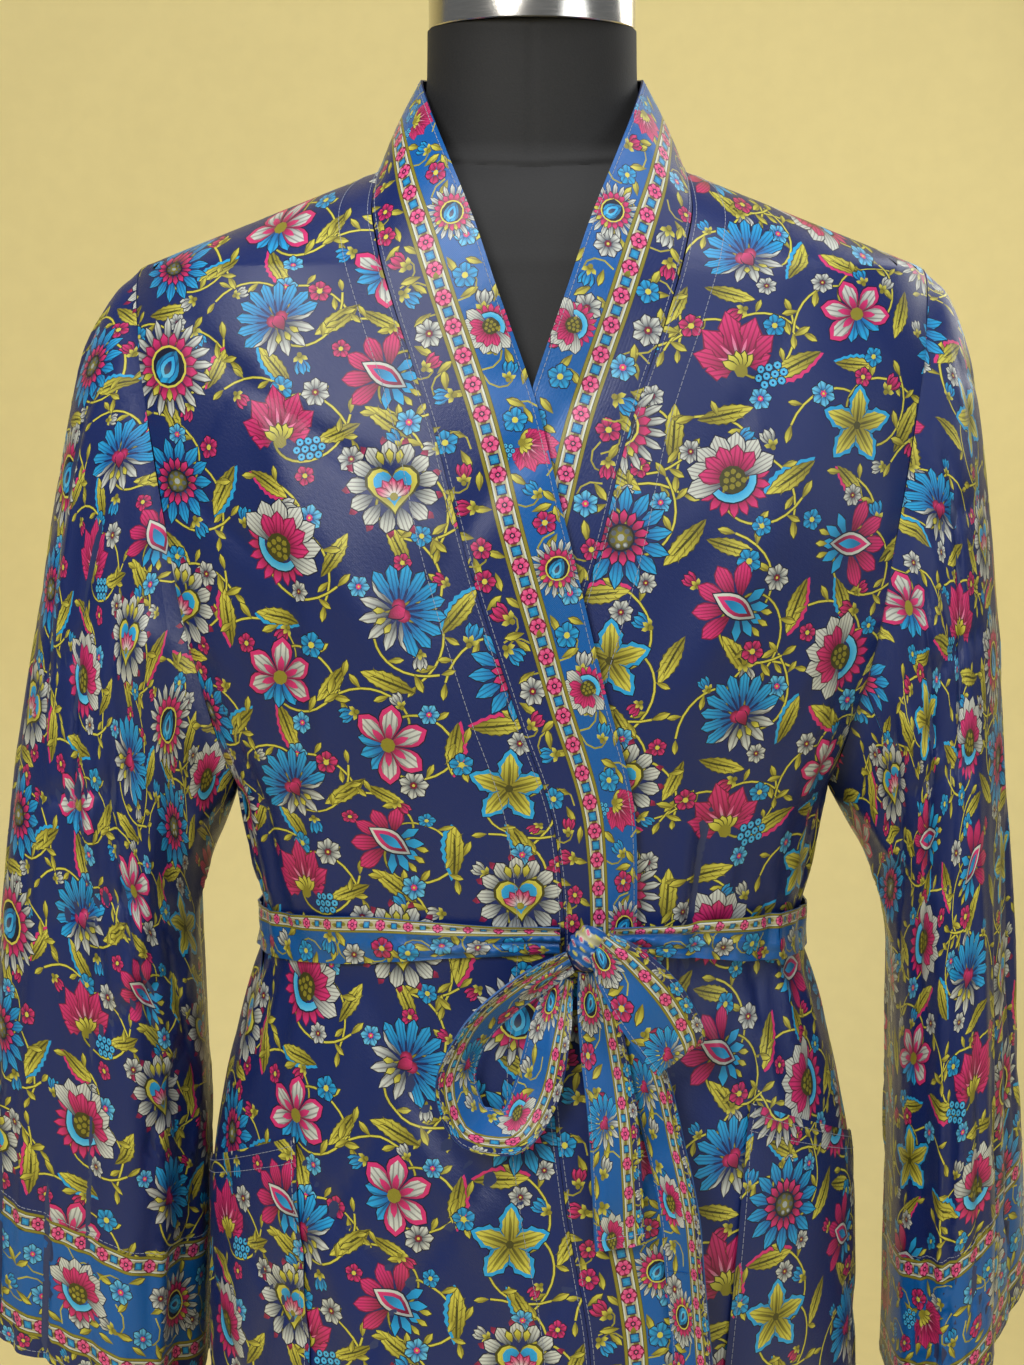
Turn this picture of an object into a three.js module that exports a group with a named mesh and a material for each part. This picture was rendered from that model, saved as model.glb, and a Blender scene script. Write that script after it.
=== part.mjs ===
// A kimono robe worn by a limbless dress form on a pole stand, in millimetres.
// +Z is up, the robe's front looks along -Y, and the origin is the middle of the stand's foot on the floor.
// Left and right are the wearer's: the right front, at -X, lies over the left one.
import * as THREE from "three";

// ---- driving dimensions ----
const HEM_Z = 350;
const BELT_BACK_Z = 985; // the belt's middle at the centre back
const BELT_RISE = 34; // how much higher the belt sits at the centre front
const UNDERARM_Z = 1082;
const TIP_Z = 1391; // the shoulder tip, where the sleeve head starts
const NECK_Z = 1447; // the side of the neck, where the shoulder seam starts
const TIP_X = 231;
const UNDERARM_X = 180;
const NECK_X = 88;
const SEAM_Y = 5; // the side and shoulder seams lie in this plane
const ARMHOLE_HALF = 85; // half the armhole's width, front to back
const ROUNDING = 2.25; // the body sections' superellipse exponent
const CLOTH = 1.2;
const BAND = 2.0; // the band is cloth folded double
const SEAM_GAP = 0.3;
const FRONT_LIFT = 2.3; // how far each front stands off the middle surface where they overlap
const LIFT_TO = 116; // the lift is whole up to this distance from the centre, and fades out beyond it
const LIFT_FADE = 50;

// The robe's body at each height: half its width, and its reach before and behind the origin.
const BODY_ROWS = [
  { z: 350, half: 226, front: 176, back: 172 },
  { z: 520, half: 214, front: 168, back: 160 },
  { z: 690, half: 204, front: 159, back: 149 },
  { z: 830, half: 202, front: 150, back: 138 },
  { z: 890, half: 193, front: 144, back: 129 },
  { z: 935, half: 181, front: 137, back: 119 },
  { z: 996, half: 165, front: 130, back: 107 },
  { z: 1035, half: 171, front: 132, back: 109 },
  { z: 1082, half: 180, front: 135, back: 113 },
  { z: 1150, half: 190, front: 137, back: 118 },
  { z: 1235, half: 205, front: 134, back: 122 },
  { z: 1300, half: 216, front: 124, back: 119 },
  { z: 1357, half: 226, front: 110, back: 111 },
  { z: 1391, half: 231, front: 99, back: 103 },
  { z: 1420, half: 150, front: 83, back: 91 },
  { z: 1447, half: 88, front: 62, back: 76 },
];

// Each front's band seam, as a distance on its own side of the centre, and the band's width there.
const BAND_ROWS = [
  { z: 350, x: -50, width: 54 },
  { z: 775, x: -33, width: 54 },
  { z: 873, x: -18, width: 54 },
  { z: 935, x: -12, width: 50 },
  { z: 1018, x: -18, width: 40 },
  { z: 1079, x: -13, width: 44 },
  { z: 1153, x: 10, width: 50 },
  { z: 1238, x: 36.5, width: 56 },
  { z: 1302, x: 53, width: 57 },
  { z: 1363, x: 74, width: 57 },
  { z: 1400, x: 85, width: 56 },
  { z: 1424, x: 89.5, width: 56 },
  { z: 1447, x: 88, width: 56 },
];

// The band's free edge where it leaves the chest and climbs to the side of the neck, by its seam's height.
const COLLAR_FRONT_ROWS = [
  { z: 1346, x: 14.5, y: -119, edgeZ: 1364 },
  { z: 1391, x: 31, y: -92, edgeZ: 1413 },
  { z: 1420, x: 46, y: -71, edgeZ: 1450 },
  { z: 1439, x: 59, y: -36, edgeZ: 1482 },
  { z: 1447, x: 65, y: 0, edgeZ: 1499 },
];

// The band's free edge round the back of the neck, by the share of the way to the centre back.
const COLLAR_BACK_ROWS = [
  { share: 0, x: 65, y: 0, edgeZ: 1499 },
  { share: 0.33, x: 59, y: 36, edgeZ: 1502 },
  { share: 0.66, x: 36, y: 62, edgeZ: 1501 },
  { share: 1, x: 0, y: 70, edgeZ: 1500 },
];

// Folds of the robe's body. Angles run from the centre front, towards +X, in degrees; a fold is
// strongest at peak, gone at start above it and at end below it, and slants from angle to foot.
const BODY_FOLDS = [
  { angle: -168, foot: -170, wide: 8, start: 955, peak: 350, end: -900, rise: 8 },
  { angle: -143, foot: -146, wide: 9, start: 940, peak: 350, end: -900, rise: 10 },
  { angle: -117, foot: -121, wide: 8, start: 960, peak: 420, end: -900, rise: 7 },
  { angle: -96, foot: -97, wide: 8, start: 930, peak: 350, end: -900, rise: 9 },
  { angle: -70, foot: -73, wide: 9, start: 950, peak: 350, end: -900, rise: 8 },
  { angle: -45, foot: -48, wide: 8, start: 960, peak: 350, end: -900, rise: 7 },
  { angle: -24, foot: -25, wide: 7, start: 930, peak: 400, end: -900, rise: 5 },
  { angle: 33, foot: 36, wide: 8, start: 955, peak: 350, end: -900, rise: 6 },
  { angle: 55, foot: 58, wide: 8, start: 950, peak: 350, end: -900, rise: 8 },
  { angle: 78, foot: 80, wide: 8, start: 940, peak: 350, end: -900, rise: 7 },
  { angle: 100, foot: 103, wide: 9, start: 960, peak: 350, end: -900, rise: 10 },
  { angle: 126, foot: 128, wide: 8, start: 945, peak: 350, end: -900, rise: 8 },
  { angle: 150, foot: 153, wide: 9, start: 955, peak: 350, end: -900, rise: 9 },
  { angle: -150, foot: -135, wide: 9, start: 1330, peak: 1110, end: 1015, rise: 5 },
  { angle: -108, foot: -112, wide: 8, start: 1180, peak: 1080, end: 1012, rise: 4 },
  { angle: -62, foot: -52, wide: 8, start: 1310, peak: 1120, end: 1030, rise: 4 },
  { angle: -38, foot: -24, wide: 7, start: 1380, peak: 1230, end: 1045, rise: 3.5 },
  { angle: 42, foot: 26, wide: 7, start: 1380, peak: 1220, end: 1045, rise: 3.5 },
  { angle: 66, foot: 54, wide: 8, start: 1300, peak: 1120, end: 1030, rise: 4 },
  { angle: 110, foot: 113, wide: 8, start: 1180, peak: 1080, end: 1012, rise: 4 },
  { angle: 152, foot: 138, wide: 9, start: 1330, peak: 1110, end: 1015, rise: 5 },
  { angle: 178, foot: 177, wide: 9, start: 1280, peak: 1090, end: 1015, rise: 3 },
];

// The sleeves, from the armhole (at 0) to the cuff (at 1): the outer and inner outline and half the depth.
const RIGHT_SLEEVE_ROWS = [
  { at: 0, outX: 231, outZ: 1391, inX: 180, inZ: 1082, deep: 85, outY: 5, inY: 5 },
  { at: 0.06, outX: 250, outZ: 1366, inX: 184, inZ: 1069, deep: 84, outY: 5, inY: 5 },
  { at: 0.14, outX: 267, outZ: 1333, inX: 190, inZ: 1053, deep: 82, outY: 4, inY: 4 },
  { at: 0.24, outX: 282, outZ: 1275, inX: 199, inZ: 1032, deep: 78, outY: 2, inY: 2 },
  { at: 0.38, outX: 298, outZ: 1188, inX: 207, inZ: 998, deep: 74, outY: 0, inY: 0 },
  { at: 0.55, outX: 317, outZ: 1082, inX: 206, inZ: 940, deep: 71, outY: -3, inY: -3 },
  { at: 0.76, outX: 335, outZ: 930, inX: 205, inZ: 838, deep: 68, outY: -5, inY: -5 },
  { at: 1, outX: 350, outZ: 748, inX: 211, inZ: 694, deep: 66, outY: -6, inY: -6 },
];
const LEFT_SLEEVE_ROWS = [
  { at: 0, outX: 231, outZ: 1391, inX: 180, inZ: 1082, deep: 85, outY: 5, inY: 5 },
  { at: 0.06, outX: 247, outZ: 1368, inX: 187, inZ: 1069, deep: 85, outY: 6, inY: 4 },
  { at: 0.14, outX: 260, outZ: 1333, inX: 196, inZ: 1053, deep: 85, outY: 7, inY: 3 },
  { at: 0.24, outX: 271, outZ: 1275, inX: 208, inZ: 1032, deep: 84, outY: 9, inY: 0 },
  { at: 0.38, outX: 281, outZ: 1188, inX: 219, inZ: 998, deep: 83, outY: 12, inY: -5 },
  { at: 0.55, outX: 290, outZ: 1082, inX: 225, inZ: 940, deep: 82, outY: 18, inY: -10 },
  { at: 0.76, outX: 303, outZ: 930, inX: 227, inZ: 838, deep: 82, outY: 28, inY: -15 },
  { at: 1, outX: 319, outZ: 752, inX: 229, inZ: 690, deep: 82, outY: 42, inY: -18 },
];

// Folds of the sleeves. Angles run from the outer edge over the front; start, peak and end are
// places along the sleeve.
const RIGHT_SLEEVE_FOLDS = [
  { angle: 38, wide: 13, start: 0.12, peak: 1, end: 3, rise: 6 },
  { angle: 78, wide: 12, start: 0.25, peak: 1, end: 3, rise: -7 },
  { angle: 118, wide: 12, start: 0.1, peak: 0.8, end: 3, rise: 8 },
  { angle: 150, wide: 11, start: 0.15, peak: 1, end: 3, rise: -6 },
  { angle: 205, wide: 13, start: 0.15, peak: 0.9, end: 3, rise: 5 },
  { angle: 245, wide: 13, start: 0.2, peak: 1, end: 3, rise: -6 },
  { angle: 290, wide: 14, start: 0.1, peak: 1, end: 3, rise: 7 },
  { angle: 330, wide: 12, start: 0.25, peak: 1, end: 3, rise: -4 },
];
const LEFT_SLEEVE_FOLDS = [
  { angle: 25, wide: 12, start: 0.15, peak: 0.9, end: 3, rise: 6 },
  { angle: 62, wide: 12, start: 0.2, peak: 1, end: 3, rise: -6 },
  { angle: 100, wide: 13, start: 0.1, peak: 1, end: 3, rise: 7 },
  { angle: 142, wide: 12, start: 0.2, peak: 0.8, end: 3, rise: -6 },
  { angle: 210, wide: 13, start: 0.15, peak: 1, end: 3, rise: 6 },
  { angle: 252, wide: 13, start: 0.2, peak: 1, end: 3, rise: -7 },
  { angle: 298, wide: 13, start: 0.1, peak: 1, end: 3, rise: 6 },
  { angle: 335, wide: 12, start: 0.3, peak: 1, end: 3, rise: -4 },
];

// The belt's loose pieces over the front. Each row gives the middle line's place, how far it stands
// before the cloth, and half the width there. The width points along tilt, counted in the front view
// from +X upwards, and turn tips it out towards the viewer, both in degrees.
const LOOP_LEFT_ROWS = [
  { x: 33, z: 1022, off: 24, half: 9, tilt: 55, turn: 0 },
  { x: 43, z: 1008, off: 29, half: 17, tilt: 47, turn: 4 },
  { x: 56, z: 987, off: 35, half: 21, tilt: 41, turn: 6 },
  { x: 68, z: 965, off: 33.5, half: 19, tilt: 38, turn: 4 },
  { x: 72, z: 956, off: 27, half: 15, tilt: 38, turn: 0 },
  { x: 66, z: 965, off: 21, half: 14, tilt: 40, turn: 0 },
  { x: 57, z: 984, off: 19, half: 12, tilt: 44, turn: 0 },
  { x: 49, z: 1001, off: 17, half: 6, tilt: 50, turn: 0 },
];
const LOOP_RIGHT_ROWS = [
  { x: 19.5, z: 1010, off: 14, half: 7, tilt: 112, turn: 15 },
  { x: -6, z: 995, off: 21, half: 13, tilt: 122, turn: 42 },
  { x: -28, z: 972, off: 23, half: 15, tilt: 142, turn: 48 },
  { x: -38, z: 944, off: 22, half: 14, tilt: 182, turn: 40 },
  { x: -30, z: 919, off: 19, half: 13, tilt: 235, turn: 34 },
  { x: -12, z: 915, off: 16, half: 13, tilt: 290, turn: 24 },
  { x: 2, z: 936, off: 15, half: 13.5, tilt: 332, turn: 16 },
  { x: 9, z: 968, off: 14, half: 12, tilt: 346, turn: 12 },
  { x: 16, z: 1000, off: 12.5, half: 6.5, tilt: 340, turn: 6 },
];
const TAIL_SHORT_ROWS = [
  { x: 31, z: 1002.4, off: 12.4, half: 7, tilt: 0, turn: 0 },
  { x: 35, z: 975, off: 14, half: 12, tilt: 4, turn: -4 },
  { x: 42, z: 925, off: 11.5, half: 14, tilt: 6, turn: -6 },
  { x: 48, z: 846, off: 9.5, half: 14.5, tilt: 9, turn: 0 },
];
const TAIL_LONG_ROWS = [
  { x: 42, z: 1005, off: 10.5, half: 5, tilt: -24, turn: 0 },
  { x: 52, z: 972, off: 9.5, half: 10, tilt: 14, turn: 2 },
  { x: 66, z: 925, off: 12, half: 12, tilt: 10, turn: 18 },
  { x: 78, z: 862, off: 13, half: 12.5, tilt: 6, turn: 32 },
  { x: 86, z: 775, off: 13, half: 12.5, tilt: 4, turn: 28 },
  { x: 90, z: 702, off: 12, half: 13.5, tilt: 2, turn: 16 },
];
const BELT_CLOTH = 1.6;
const BELT_OFF = 3.2; // the belt's middle stands this far off the body's middle surface
const BELT_HALF = 14.2; // half the belt's width round the back
const BELT_PINCH = 6; // how much of that half is gathered away next to the knot
const KNOT = { x: 30, z: 1016, off: 12.2, wide: 12, tall: 13, deep: 10.5 };

// The patch pockets: the opening slants down to the side seam, which is the outer edge.
const POCKET_RIGHT = { inTop: 137, inBottom: 121, topIn: 893, topOut: 838, bottom: 690 };
const POCKET_LEFT = { inTop: 126, inBottom: 105, topIn: 914, topOut: 853, bottom: 700 };
const POCKET_OFF = 2.0;
const POCKET_COLUMN = 8; // the front panel's first column wholly under the pocket

// The dress form: sections of the torso, and its stand.
const FORM_ROWS = [
  { z: 772, half: 150, front: 100, back: 98 },
  { z: 778, half: 164, front: 112, back: 110 },
  { z: 800, half: 170, front: 117, back: 116 },
  { z: 870, half: 172, front: 119, back: 116 },
  { z: 935, half: 164, front: 117, back: 104 },
  { z: 985, half: 157, front: 118, back: 98 },
  { z: 1082, half: 168, front: 123, back: 104 },
  { z: 1150, half: 178, front: 127, back: 109 },
  { z: 1235, half: 190, front: 125, back: 114 },
  { z: 1300, half: 204, front: 115, back: 111 },
  { z: 1340, half: 214, front: 106, back: 106 },
  { z: 1357, half: 218, front: 100, back: 102 },
  { z: 1372, half: 219, front: 95.5, back: 98 },
  { z: 1386, half: 220, front: 91, back: 94 },
  { z: 1393, half: 218, front: 89, back: 92.5 },
  { z: 1400, half: 204.5, front: 86, back: 90.5 },
  { z: 1420, half: 153.5, front: 77, back: 84.5 },
  { z: 1436, half: 112.5, front: 66, back: 77 },
  { z: 1447, half: 83, front: 57, back: 70.5 },
  { z: 1460, half: 68, front: 54, back: 68 },
  { z: 1480, half: 63.5, front: 54, back: 67 },
  { z: 1500, half: 61.5, front: 54, back: 66 },
  { z: 1526, half: 61, front: 54, back: 65 },
];
const CAP = { z: 1526.3, half: 60, midY: 5.5, rim: 4, height: 30, dome: 7 };
const POLE_R = 16;
const FOOT = { r: 185, thick: 9, hub: 32, hubTall: 44 };

// ---- helpers ----
const rad = THREE.MathUtils.degToRad;
const lerp = THREE.MathUtils.lerp;
const ease = (x) => THREE.MathUtils.smoothstep(x, 0, 1);

/** A smooth, monotone curve through the rows' values of one column, read at a place in another. */
function read(rows, column, at, place = "z") {
  const x = rows.map((row) => row[place]);
  const y = rows.map((row) => row[column]);
  const last = x.length - 1;
  if (at <= x[0]) return y[0];
  if (at >= x[last]) return y[last];
  let k = 0;
  while (at > x[k + 1]) k += 1;
  const chord = (i) => (y[i + 1] - y[i]) / (x[i + 1] - x[i]);
  const slope = (i) => {
    if (i === 0) return chord(0);
    if (i === last) return chord(last - 1);
    const a = chord(i - 1);
    const b = chord(i);
    return a * b <= 0 ? 0 : (2 * a * b) / (a + b);
  };
  const step = x[k + 1] - x[k];
  const t = (at - x[k]) / step;
  const flat = 1 - t;
  return (
    y[k] * (1 + 2 * t) * flat * flat +
    slope(k) * step * t * flat * flat +
    y[k + 1] * t * t * (3 - 2 * t) -
    slope(k + 1) * step * t * t * flat
  );
}

/** How strong a fold is at a place between its start, its peak and its end. */
function strength(fold, at) {
  const towardsStart = (at - fold.start) / (fold.peak - fold.start);
  const towardsEnd = (at - fold.end) / (fold.peak - fold.end);
  return ease(Math.min(towardsStart, towardsEnd));
}

/** The sum of the folds at an angle in degrees and a place along them. */
function foldSum(folds, angle, at) {
  let sum = 0;
  for (const fold of folds) {
    const foot = fold.foot ?? fold.angle;
    const slant = (at - fold.start) / (fold.peak - fold.start);
    const centre = lerp(fold.angle, foot, THREE.MathUtils.clamp(slant, 0, 1.3));
    const away = THREE.MathUtils.euclideanModulo(angle - centre + 180, 360) - 180;
    sum += fold.rise * strength(fold, at) * Math.exp(-((away / fold.wide) ** 2));
  }
  return sum;
}

/** A closed wall of even thickness about a grid of points; a ring grid wraps round on itself. */
function wall(grid, thick, ring = false) {
  const rows = grid.length;
  const columns = grid[0].length;
  const side = (i, j) => {
    const along = new THREE.Vector3();
    const across = new THREE.Vector3();
    const wrap = (c) => (ring ? (c + columns) % columns : THREE.MathUtils.clamp(c, 0, columns - 1));
    along.subVectors(grid[Math.min(i + 1, rows - 1)][j], grid[Math.max(i - 1, 0)][j]);
    across.subVectors(grid[i][wrap(j + 1)], grid[i][wrap(j - 1)]);
    return across.cross(along).normalize();
  };
  const points = [];
  for (const half of [thick / 2, -thick / 2]) {
    for (let i = 0; i < rows; i += 1) {
      for (let j = 0; j < columns; j += 1) {
        points.push(grid[i][j].clone().addScaledVector(side(i, j), half));
      }
    }
  }
  const outer = (i, j) => i * columns + (j % columns);
  const inner = (i, j) => rows * columns + outer(i, j);
  const faces = [];
  const quad = (a, b, c, d) => faces.push(a, b, c, a, c, d);
  const spans = ring ? columns : columns - 1;
  for (let i = 0; i < rows - 1; i += 1) {
    for (let j = 0; j < spans; j += 1) {
      quad(outer(i, j), outer(i, j + 1), outer(i + 1, j + 1), outer(i + 1, j));
      quad(inner(i, j), inner(i + 1, j), inner(i + 1, j + 1), inner(i, j + 1));
    }
  }
  for (let j = 0; j < spans; j += 1) {
    quad(outer(0, j), inner(0, j), inner(0, j + 1), outer(0, j + 1));
    quad(outer(rows - 1, j), outer(rows - 1, j + 1), inner(rows - 1, j + 1), inner(rows - 1, j));
  }
  for (let i = 0; i < rows - 1 && !ring; i += 1) {
    quad(outer(i, 0), outer(i + 1, 0), inner(i + 1, 0), inner(i, 0));
    quad(outer(i, columns - 1), inner(i, columns - 1), inner(i + 1, columns - 1), outer(i + 1, columns - 1));
  }
  return geometryOf(points, faces);
}

/** A closed solid lofted through rings of points, with flat ends. */
function loft(rings) {
  const count = rings[0].length;
  const points = rings.flat();
  const faces = [];
  for (let i = 0; i < rings.length - 1; i += 1) {
    for (let j = 0; j < count; j += 1) {
      const a = i * count + j;
      const b = i * count + ((j + 1) % count);
      faces.push(a, b, b + count, a, b + count, a + count);
    }
  }
  const top = (rings.length - 1) * count;
  for (let j = 1; j < count - 1; j += 1) {
    faces.push(0, j + 1, j, top, top + j, top + j + 1);
  }
  return geometryOf(points, faces);
}

function geometryOf(points, faces) {
  const geometry = new THREE.BufferGeometry().setFromPoints(points);
  geometry.setIndex(faces);
  if (volumeOf(points, faces) < 0) {
    for (let i = 0; i < faces.length; i += 3) [faces[i + 1], faces[i + 2]] = [faces[i + 2], faces[i + 1]];
    geometry.setIndex(faces);
  }
  geometry.computeVertexNormals();
  return geometry;
}

function volumeOf(points, faces) {
  let sum = 0;
  for (let i = 0; i < faces.length; i += 3) {
    const [a, b, c] = [points[faces[i]], points[faces[i + 1]], points[faces[i + 2]]];
    sum += a.dot(b.clone().cross(c));
  }
  return sum / 6;
}

const spread = (from, to, count) => Array.from({ length: count }, (_, i) => lerp(from, to, i / (count - 1)));

// ---- the robe's body ----
/** Where the front and back panels end at a height: side seam, armhole or shoulder seam. */
function edgeAt(z) {
  if (z <= UNDERARM_Z) return { x: read(BODY_ROWS, "half", z), out: 0 };
  if (z >= TIP_Z) return { x: lerp(TIP_X, NECK_X, (z - TIP_Z) / (NECK_Z - TIP_Z)), out: 0 };
  const middle = (UNDERARM_Z + TIP_Z) / 2;
  const up = (z - middle) / (TIP_Z - middle);
  const x = lerp(UNDERARM_X, TIP_X, (z - UNDERARM_Z) / (TIP_Z - UNDERARM_Z));
  return { x, out: ARMHOLE_HALF * Math.sqrt(Math.max(0, 1 - up * up)) };
}

/** The superellipse that the body follows at a height, before the seams or behind them. */
function sectionAt(z, behind) {
  const edge = edgeAt(z);
  const reach = read(BODY_ROWS, behind ? "back" : "front", z);
  const depth = behind ? reach - SEAM_Y : reach + SEAM_Y;
  const share = Math.pow(1 - Math.pow(edge.out / depth, ROUNDING), 1 / ROUNDING);
  return { half: edge.x / share, depth, last: Math.asin(Math.pow(share, ROUNDING / 2)) };
}

/** A point of the body: turn is the section's own angle, 0 at the centre and positive towards +X. */
function bodyPoint(z, turn, behind, lift = 0) {
  const { half, depth } = sectionAt(z, behind);
  const power = 2 / ROUNDING;
  const x = half * Math.sign(turn) * Math.pow(Math.abs(Math.sin(turn)), power);
  const out = depth * Math.pow(Math.max(0, Math.cos(turn)), power);
  const away = new THREE.Vector2(x / half ** 2, out / depth ** 2).normalize();
  const degrees = THREE.MathUtils.radToDeg(turn);
  const angle = behind ? 180 - degrees : degrees;
  const move = foldSum(BODY_FOLDS, angle, z) + lift;
  const y = SEAM_Y + (out + away.y * move) * (behind ? 1 : -1);
  return new THREE.Vector3(x + away.x * move, y, z);
}

/** The section's angle at a distance from the centre, on the front. */
function turnAt(x, z) {
  const share = Math.min(1, Math.abs(x) / sectionAt(z, false).half);
  return Math.sign(x) * Math.asin(Math.pow(share, ROUNDING / 2));
}

/** A point on a front at a distance from the centre; over is 1 on the upper front and -1 under it. */
function frontPoint(x, z, over, more = 0) {
  const near = 1 - ease((Math.abs(x) - LIFT_TO) / LIFT_FADE);
  const low = 1 - ease((z - 1290) / 70);
  return bodyPoint(z, turnAt(x, z), false, over * FRONT_LIFT * near * low + more);
}

const FRONT_COLUMNS = 17;
const BODY_LEVELS = [
  HEM_Z, 430, 510, 590, 665, 735, 800, 850, 895, 932, 960, 985, 1012, 1045,
  UNDERARM_Z, 1118, 1158, 1198, 1238, 1278, 1315, 1346, 1368, 1382, TIP_Z,
];
const SHOULDER_LEVELS = [1400, 1411, 1422, 1432, 1440, NECK_Z - 1.2];
const PANEL_LEVELS = [...BODY_LEVELS, ...SHOULDER_LEVELS];

/** A point of a front panel on one of its columns, counted from the band seam to the side. */
function frontColumn(z, column, own, more = 0) {
  const section = sectionAt(z, false);
  const first = turnAt(read(BAND_ROWS, "x", z) + SEAM_GAP / 2, z);
  const last = section.last - SEAM_GAP / 2 / section.half;
  const turn = lerp(first, last, column / (FRONT_COLUMNS - 1));
  const x = section.half * Math.sign(turn) * Math.pow(Math.abs(Math.sin(turn)), 2 / ROUNDING);
  return frontPoint(own * x, z, -own, more);
}

/** A front panel, from its band seam to its side; own is -1 for the right front and 1 for the left. */
function frontPanel(own) {
  const columns = spread(0, FRONT_COLUMNS - 1, FRONT_COLUMNS);
  return wall(PANEL_LEVELS.map((z) => columns.map((column) => frontColumn(z, column, own))), CLOTH);
}

/** The back panel, from side to side and up to the neck. */
function backPanel() {
  const columns = 31;
  const grid = PANEL_LEVELS.map((z) => {
    const section = sectionAt(z, true);
    const last = section.last - (SEAM_GAP / 2) / section.depth;
    return spread(-last, last, columns).map((turn) => bodyPoint(z, turn, true));
  });
  return wall(grid, CLOTH);
}

// ---- the band ----
/** A point across the band where it lies on the chest and skirt: across is 0 at the seam. */
function bandOnFront(z, across, own) {
  const x = read(BAND_ROWS, "x", z);
  const slope = (read(BAND_ROWS, "x", z + 4) - read(BAND_ROWS, "x", z - 4)) / 8;
  const long = Math.hypot(1, slope);
  const reach = SEAM_GAP / 2 + across * read(BAND_ROWS, "width", z);
  return frontPoint(own * (x - reach / long), z + (reach * slope) / long, -own);
}

/** The band from a seam point to its free edge; turned is how far it bends up at the seam, in degrees. */
function bandRow(seam, edge, turned) {
  const across = edge.clone().sub(seam);
  const gap = SEAM_GAP + (BAND / 2) * Math.sin(rad(turned));
  seam.addScaledVector(across.clone().normalize(), gap);
  return BAND_SHARES.map((share) => {
    const point = seam.clone().lerp(edge, share);
    const swell = 2.2 * Math.sin(Math.PI * share) * Math.sin(rad(turned));
    return point.addScaledVector(new THREE.Vector3(point.x, point.y, 0).normalize(), swell);
  });
}

const BAND_SHARES = spread(0, 1, 5);
const BACK_NECK_TURNS = spread(1, 0, 9);

/** Half the band, from the hem to the centre back. */
function bandHalf(own) {
  const grid = PANEL_LEVELS.map((z) => {
    if (z <= COLLAR_FRONT_ROWS[0].z) return BAND_SHARES.map((share) => bandOnFront(z, share, own));
    const seam = frontPoint(own * read(BAND_ROWS, "x", z), z, -own);
    const value = (column) => read(COLLAR_FRONT_ROWS, column, z);
    const edge = new THREE.Vector3(own * value("x"), value("y"), value("edgeZ"));
    return bandRow(seam, edge, 45 * ease((z - 1346) / 80));
  });
  for (const share of BACK_NECK_TURNS.slice(1)) {
    const top = NECK_Z - 1.2;
    const turn = (sectionAt(top, true).last - SEAM_GAP / 2 / NECK_X) * share;
    const seam = bodyPoint(top, own * turn, true);
    const value = (column) => read(COLLAR_BACK_ROWS, column, 1 - share, "share");
    const edge = new THREE.Vector3(own * value("x"), value("y"), value("edgeZ"));
    if (share === 0) [seam, edge].forEach((point) => (point.x += own * SEAM_GAP));
    grid.push(bandRow(seam, edge, 45));
  }
  return wall(grid, BAND);
}

// ---- sleeves ----
function sleeve(rows, folds, own) {
  const steps = [0, 0.05, 0.1, 0.16, 0.23, 0.31, 0.4, 0.49, 0.58, 0.67, 0.76, 0.84, 0.92, 1];
  // Around the armhole the points stand at the panels' own levels.
  const middle = (UNDERARM_Z + TIP_Z) / 2;
  const levels = PANEL_LEVELS.filter((z) => z > UNDERARM_Z && z < TIP_Z).reverse();
  const over = levels.map((z) => Math.acos((z - middle) / (TIP_Z - middle)));
  const turns = [0, ...over, Math.PI, ...over.map((turn) => 2 * Math.PI - turn).reverse()];
  const grid = steps.map((at) => {
    const value = (column) => read(rows, column, at, "at");
    return turns.map((turn) => {
      const c = Math.cos(turn);
      const s = Math.sin(turn);
      const move = foldSum(folds, THREE.MathUtils.radToDeg(turn), at);
      const gap = 1.0 + 0.45 * (1 - c);
      const spanX = (value("outX") - value("inX")) / 2;
      const spanZ = (value("outZ") - value("inZ")) / 2;
      const away = new THREE.Vector2(c / Math.hypot(spanX, spanZ), s / value("deep")).normalize();
      const long = Math.hypot(spanX, spanZ);
      const x = (value("outX") + value("inX")) / 2 + spanX * c + (away.x * move * spanX) / long;
      const z = (value("outZ") + value("inZ")) / 2 + spanZ * c + (away.x * move * spanZ) / long;
      const spanY = (value("outY") - value("inY")) / 2;
      const y = (value("outY") + value("inY")) / 2 + spanY * c - value("deep") * s - away.y * move;
      return new THREE.Vector3(own * (x + gap), y, z);
    });
  });
  return wall(grid, CLOTH, true);
}

// ---- pockets ----
/** The column of the front panel, counted with its share, that lies this far from the centre. */
function columnAt(x, z) {
  const first = turnAt(read(BAND_ROWS, "x", z) + SEAM_GAP / 2, z);
  const last = sectionAt(z, false).last - SEAM_GAP / 2 / sectionAt(z, false).half;
  return ((turnAt(x, z) - first) / (last - first)) * (FRONT_COLUMNS - 1);
}

/** A patch pocket on the front panel's own columns, so that it follows the panel's folds. */
function pocket(rows, own) {
  const grid = spread(0, 1, 6).map((up) => {
    const inX = lerp(rows.inBottom, rows.inTop, up);
    const first = columnAt(inX, lerp(rows.bottom, rows.topIn, up));
    const shared = spread(POCKET_COLUMN, FRONT_COLUMNS - 2, FRONT_COLUMNS - 1 - POCKET_COLUMN);
    return [first, (first + POCKET_COLUMN) / 2, ...shared, FRONT_COLUMNS - 1.12].map((column) => {
      const out = (column - first) / (FRONT_COLUMNS - 1 - first);
      const z = lerp(rows.bottom, lerp(rows.topIn, rows.topOut, out), up);
      return frontColumn(z, column, own, POCKET_OFF);
    });
  });
  return wall(grid, CLOTH);
}

// ---- belt ----
const beltHeight = (turn) => BELT_BACK_Z + BELT_RISE * Math.pow((1 + Math.cos(turn)) / 2, 2.2);

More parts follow.
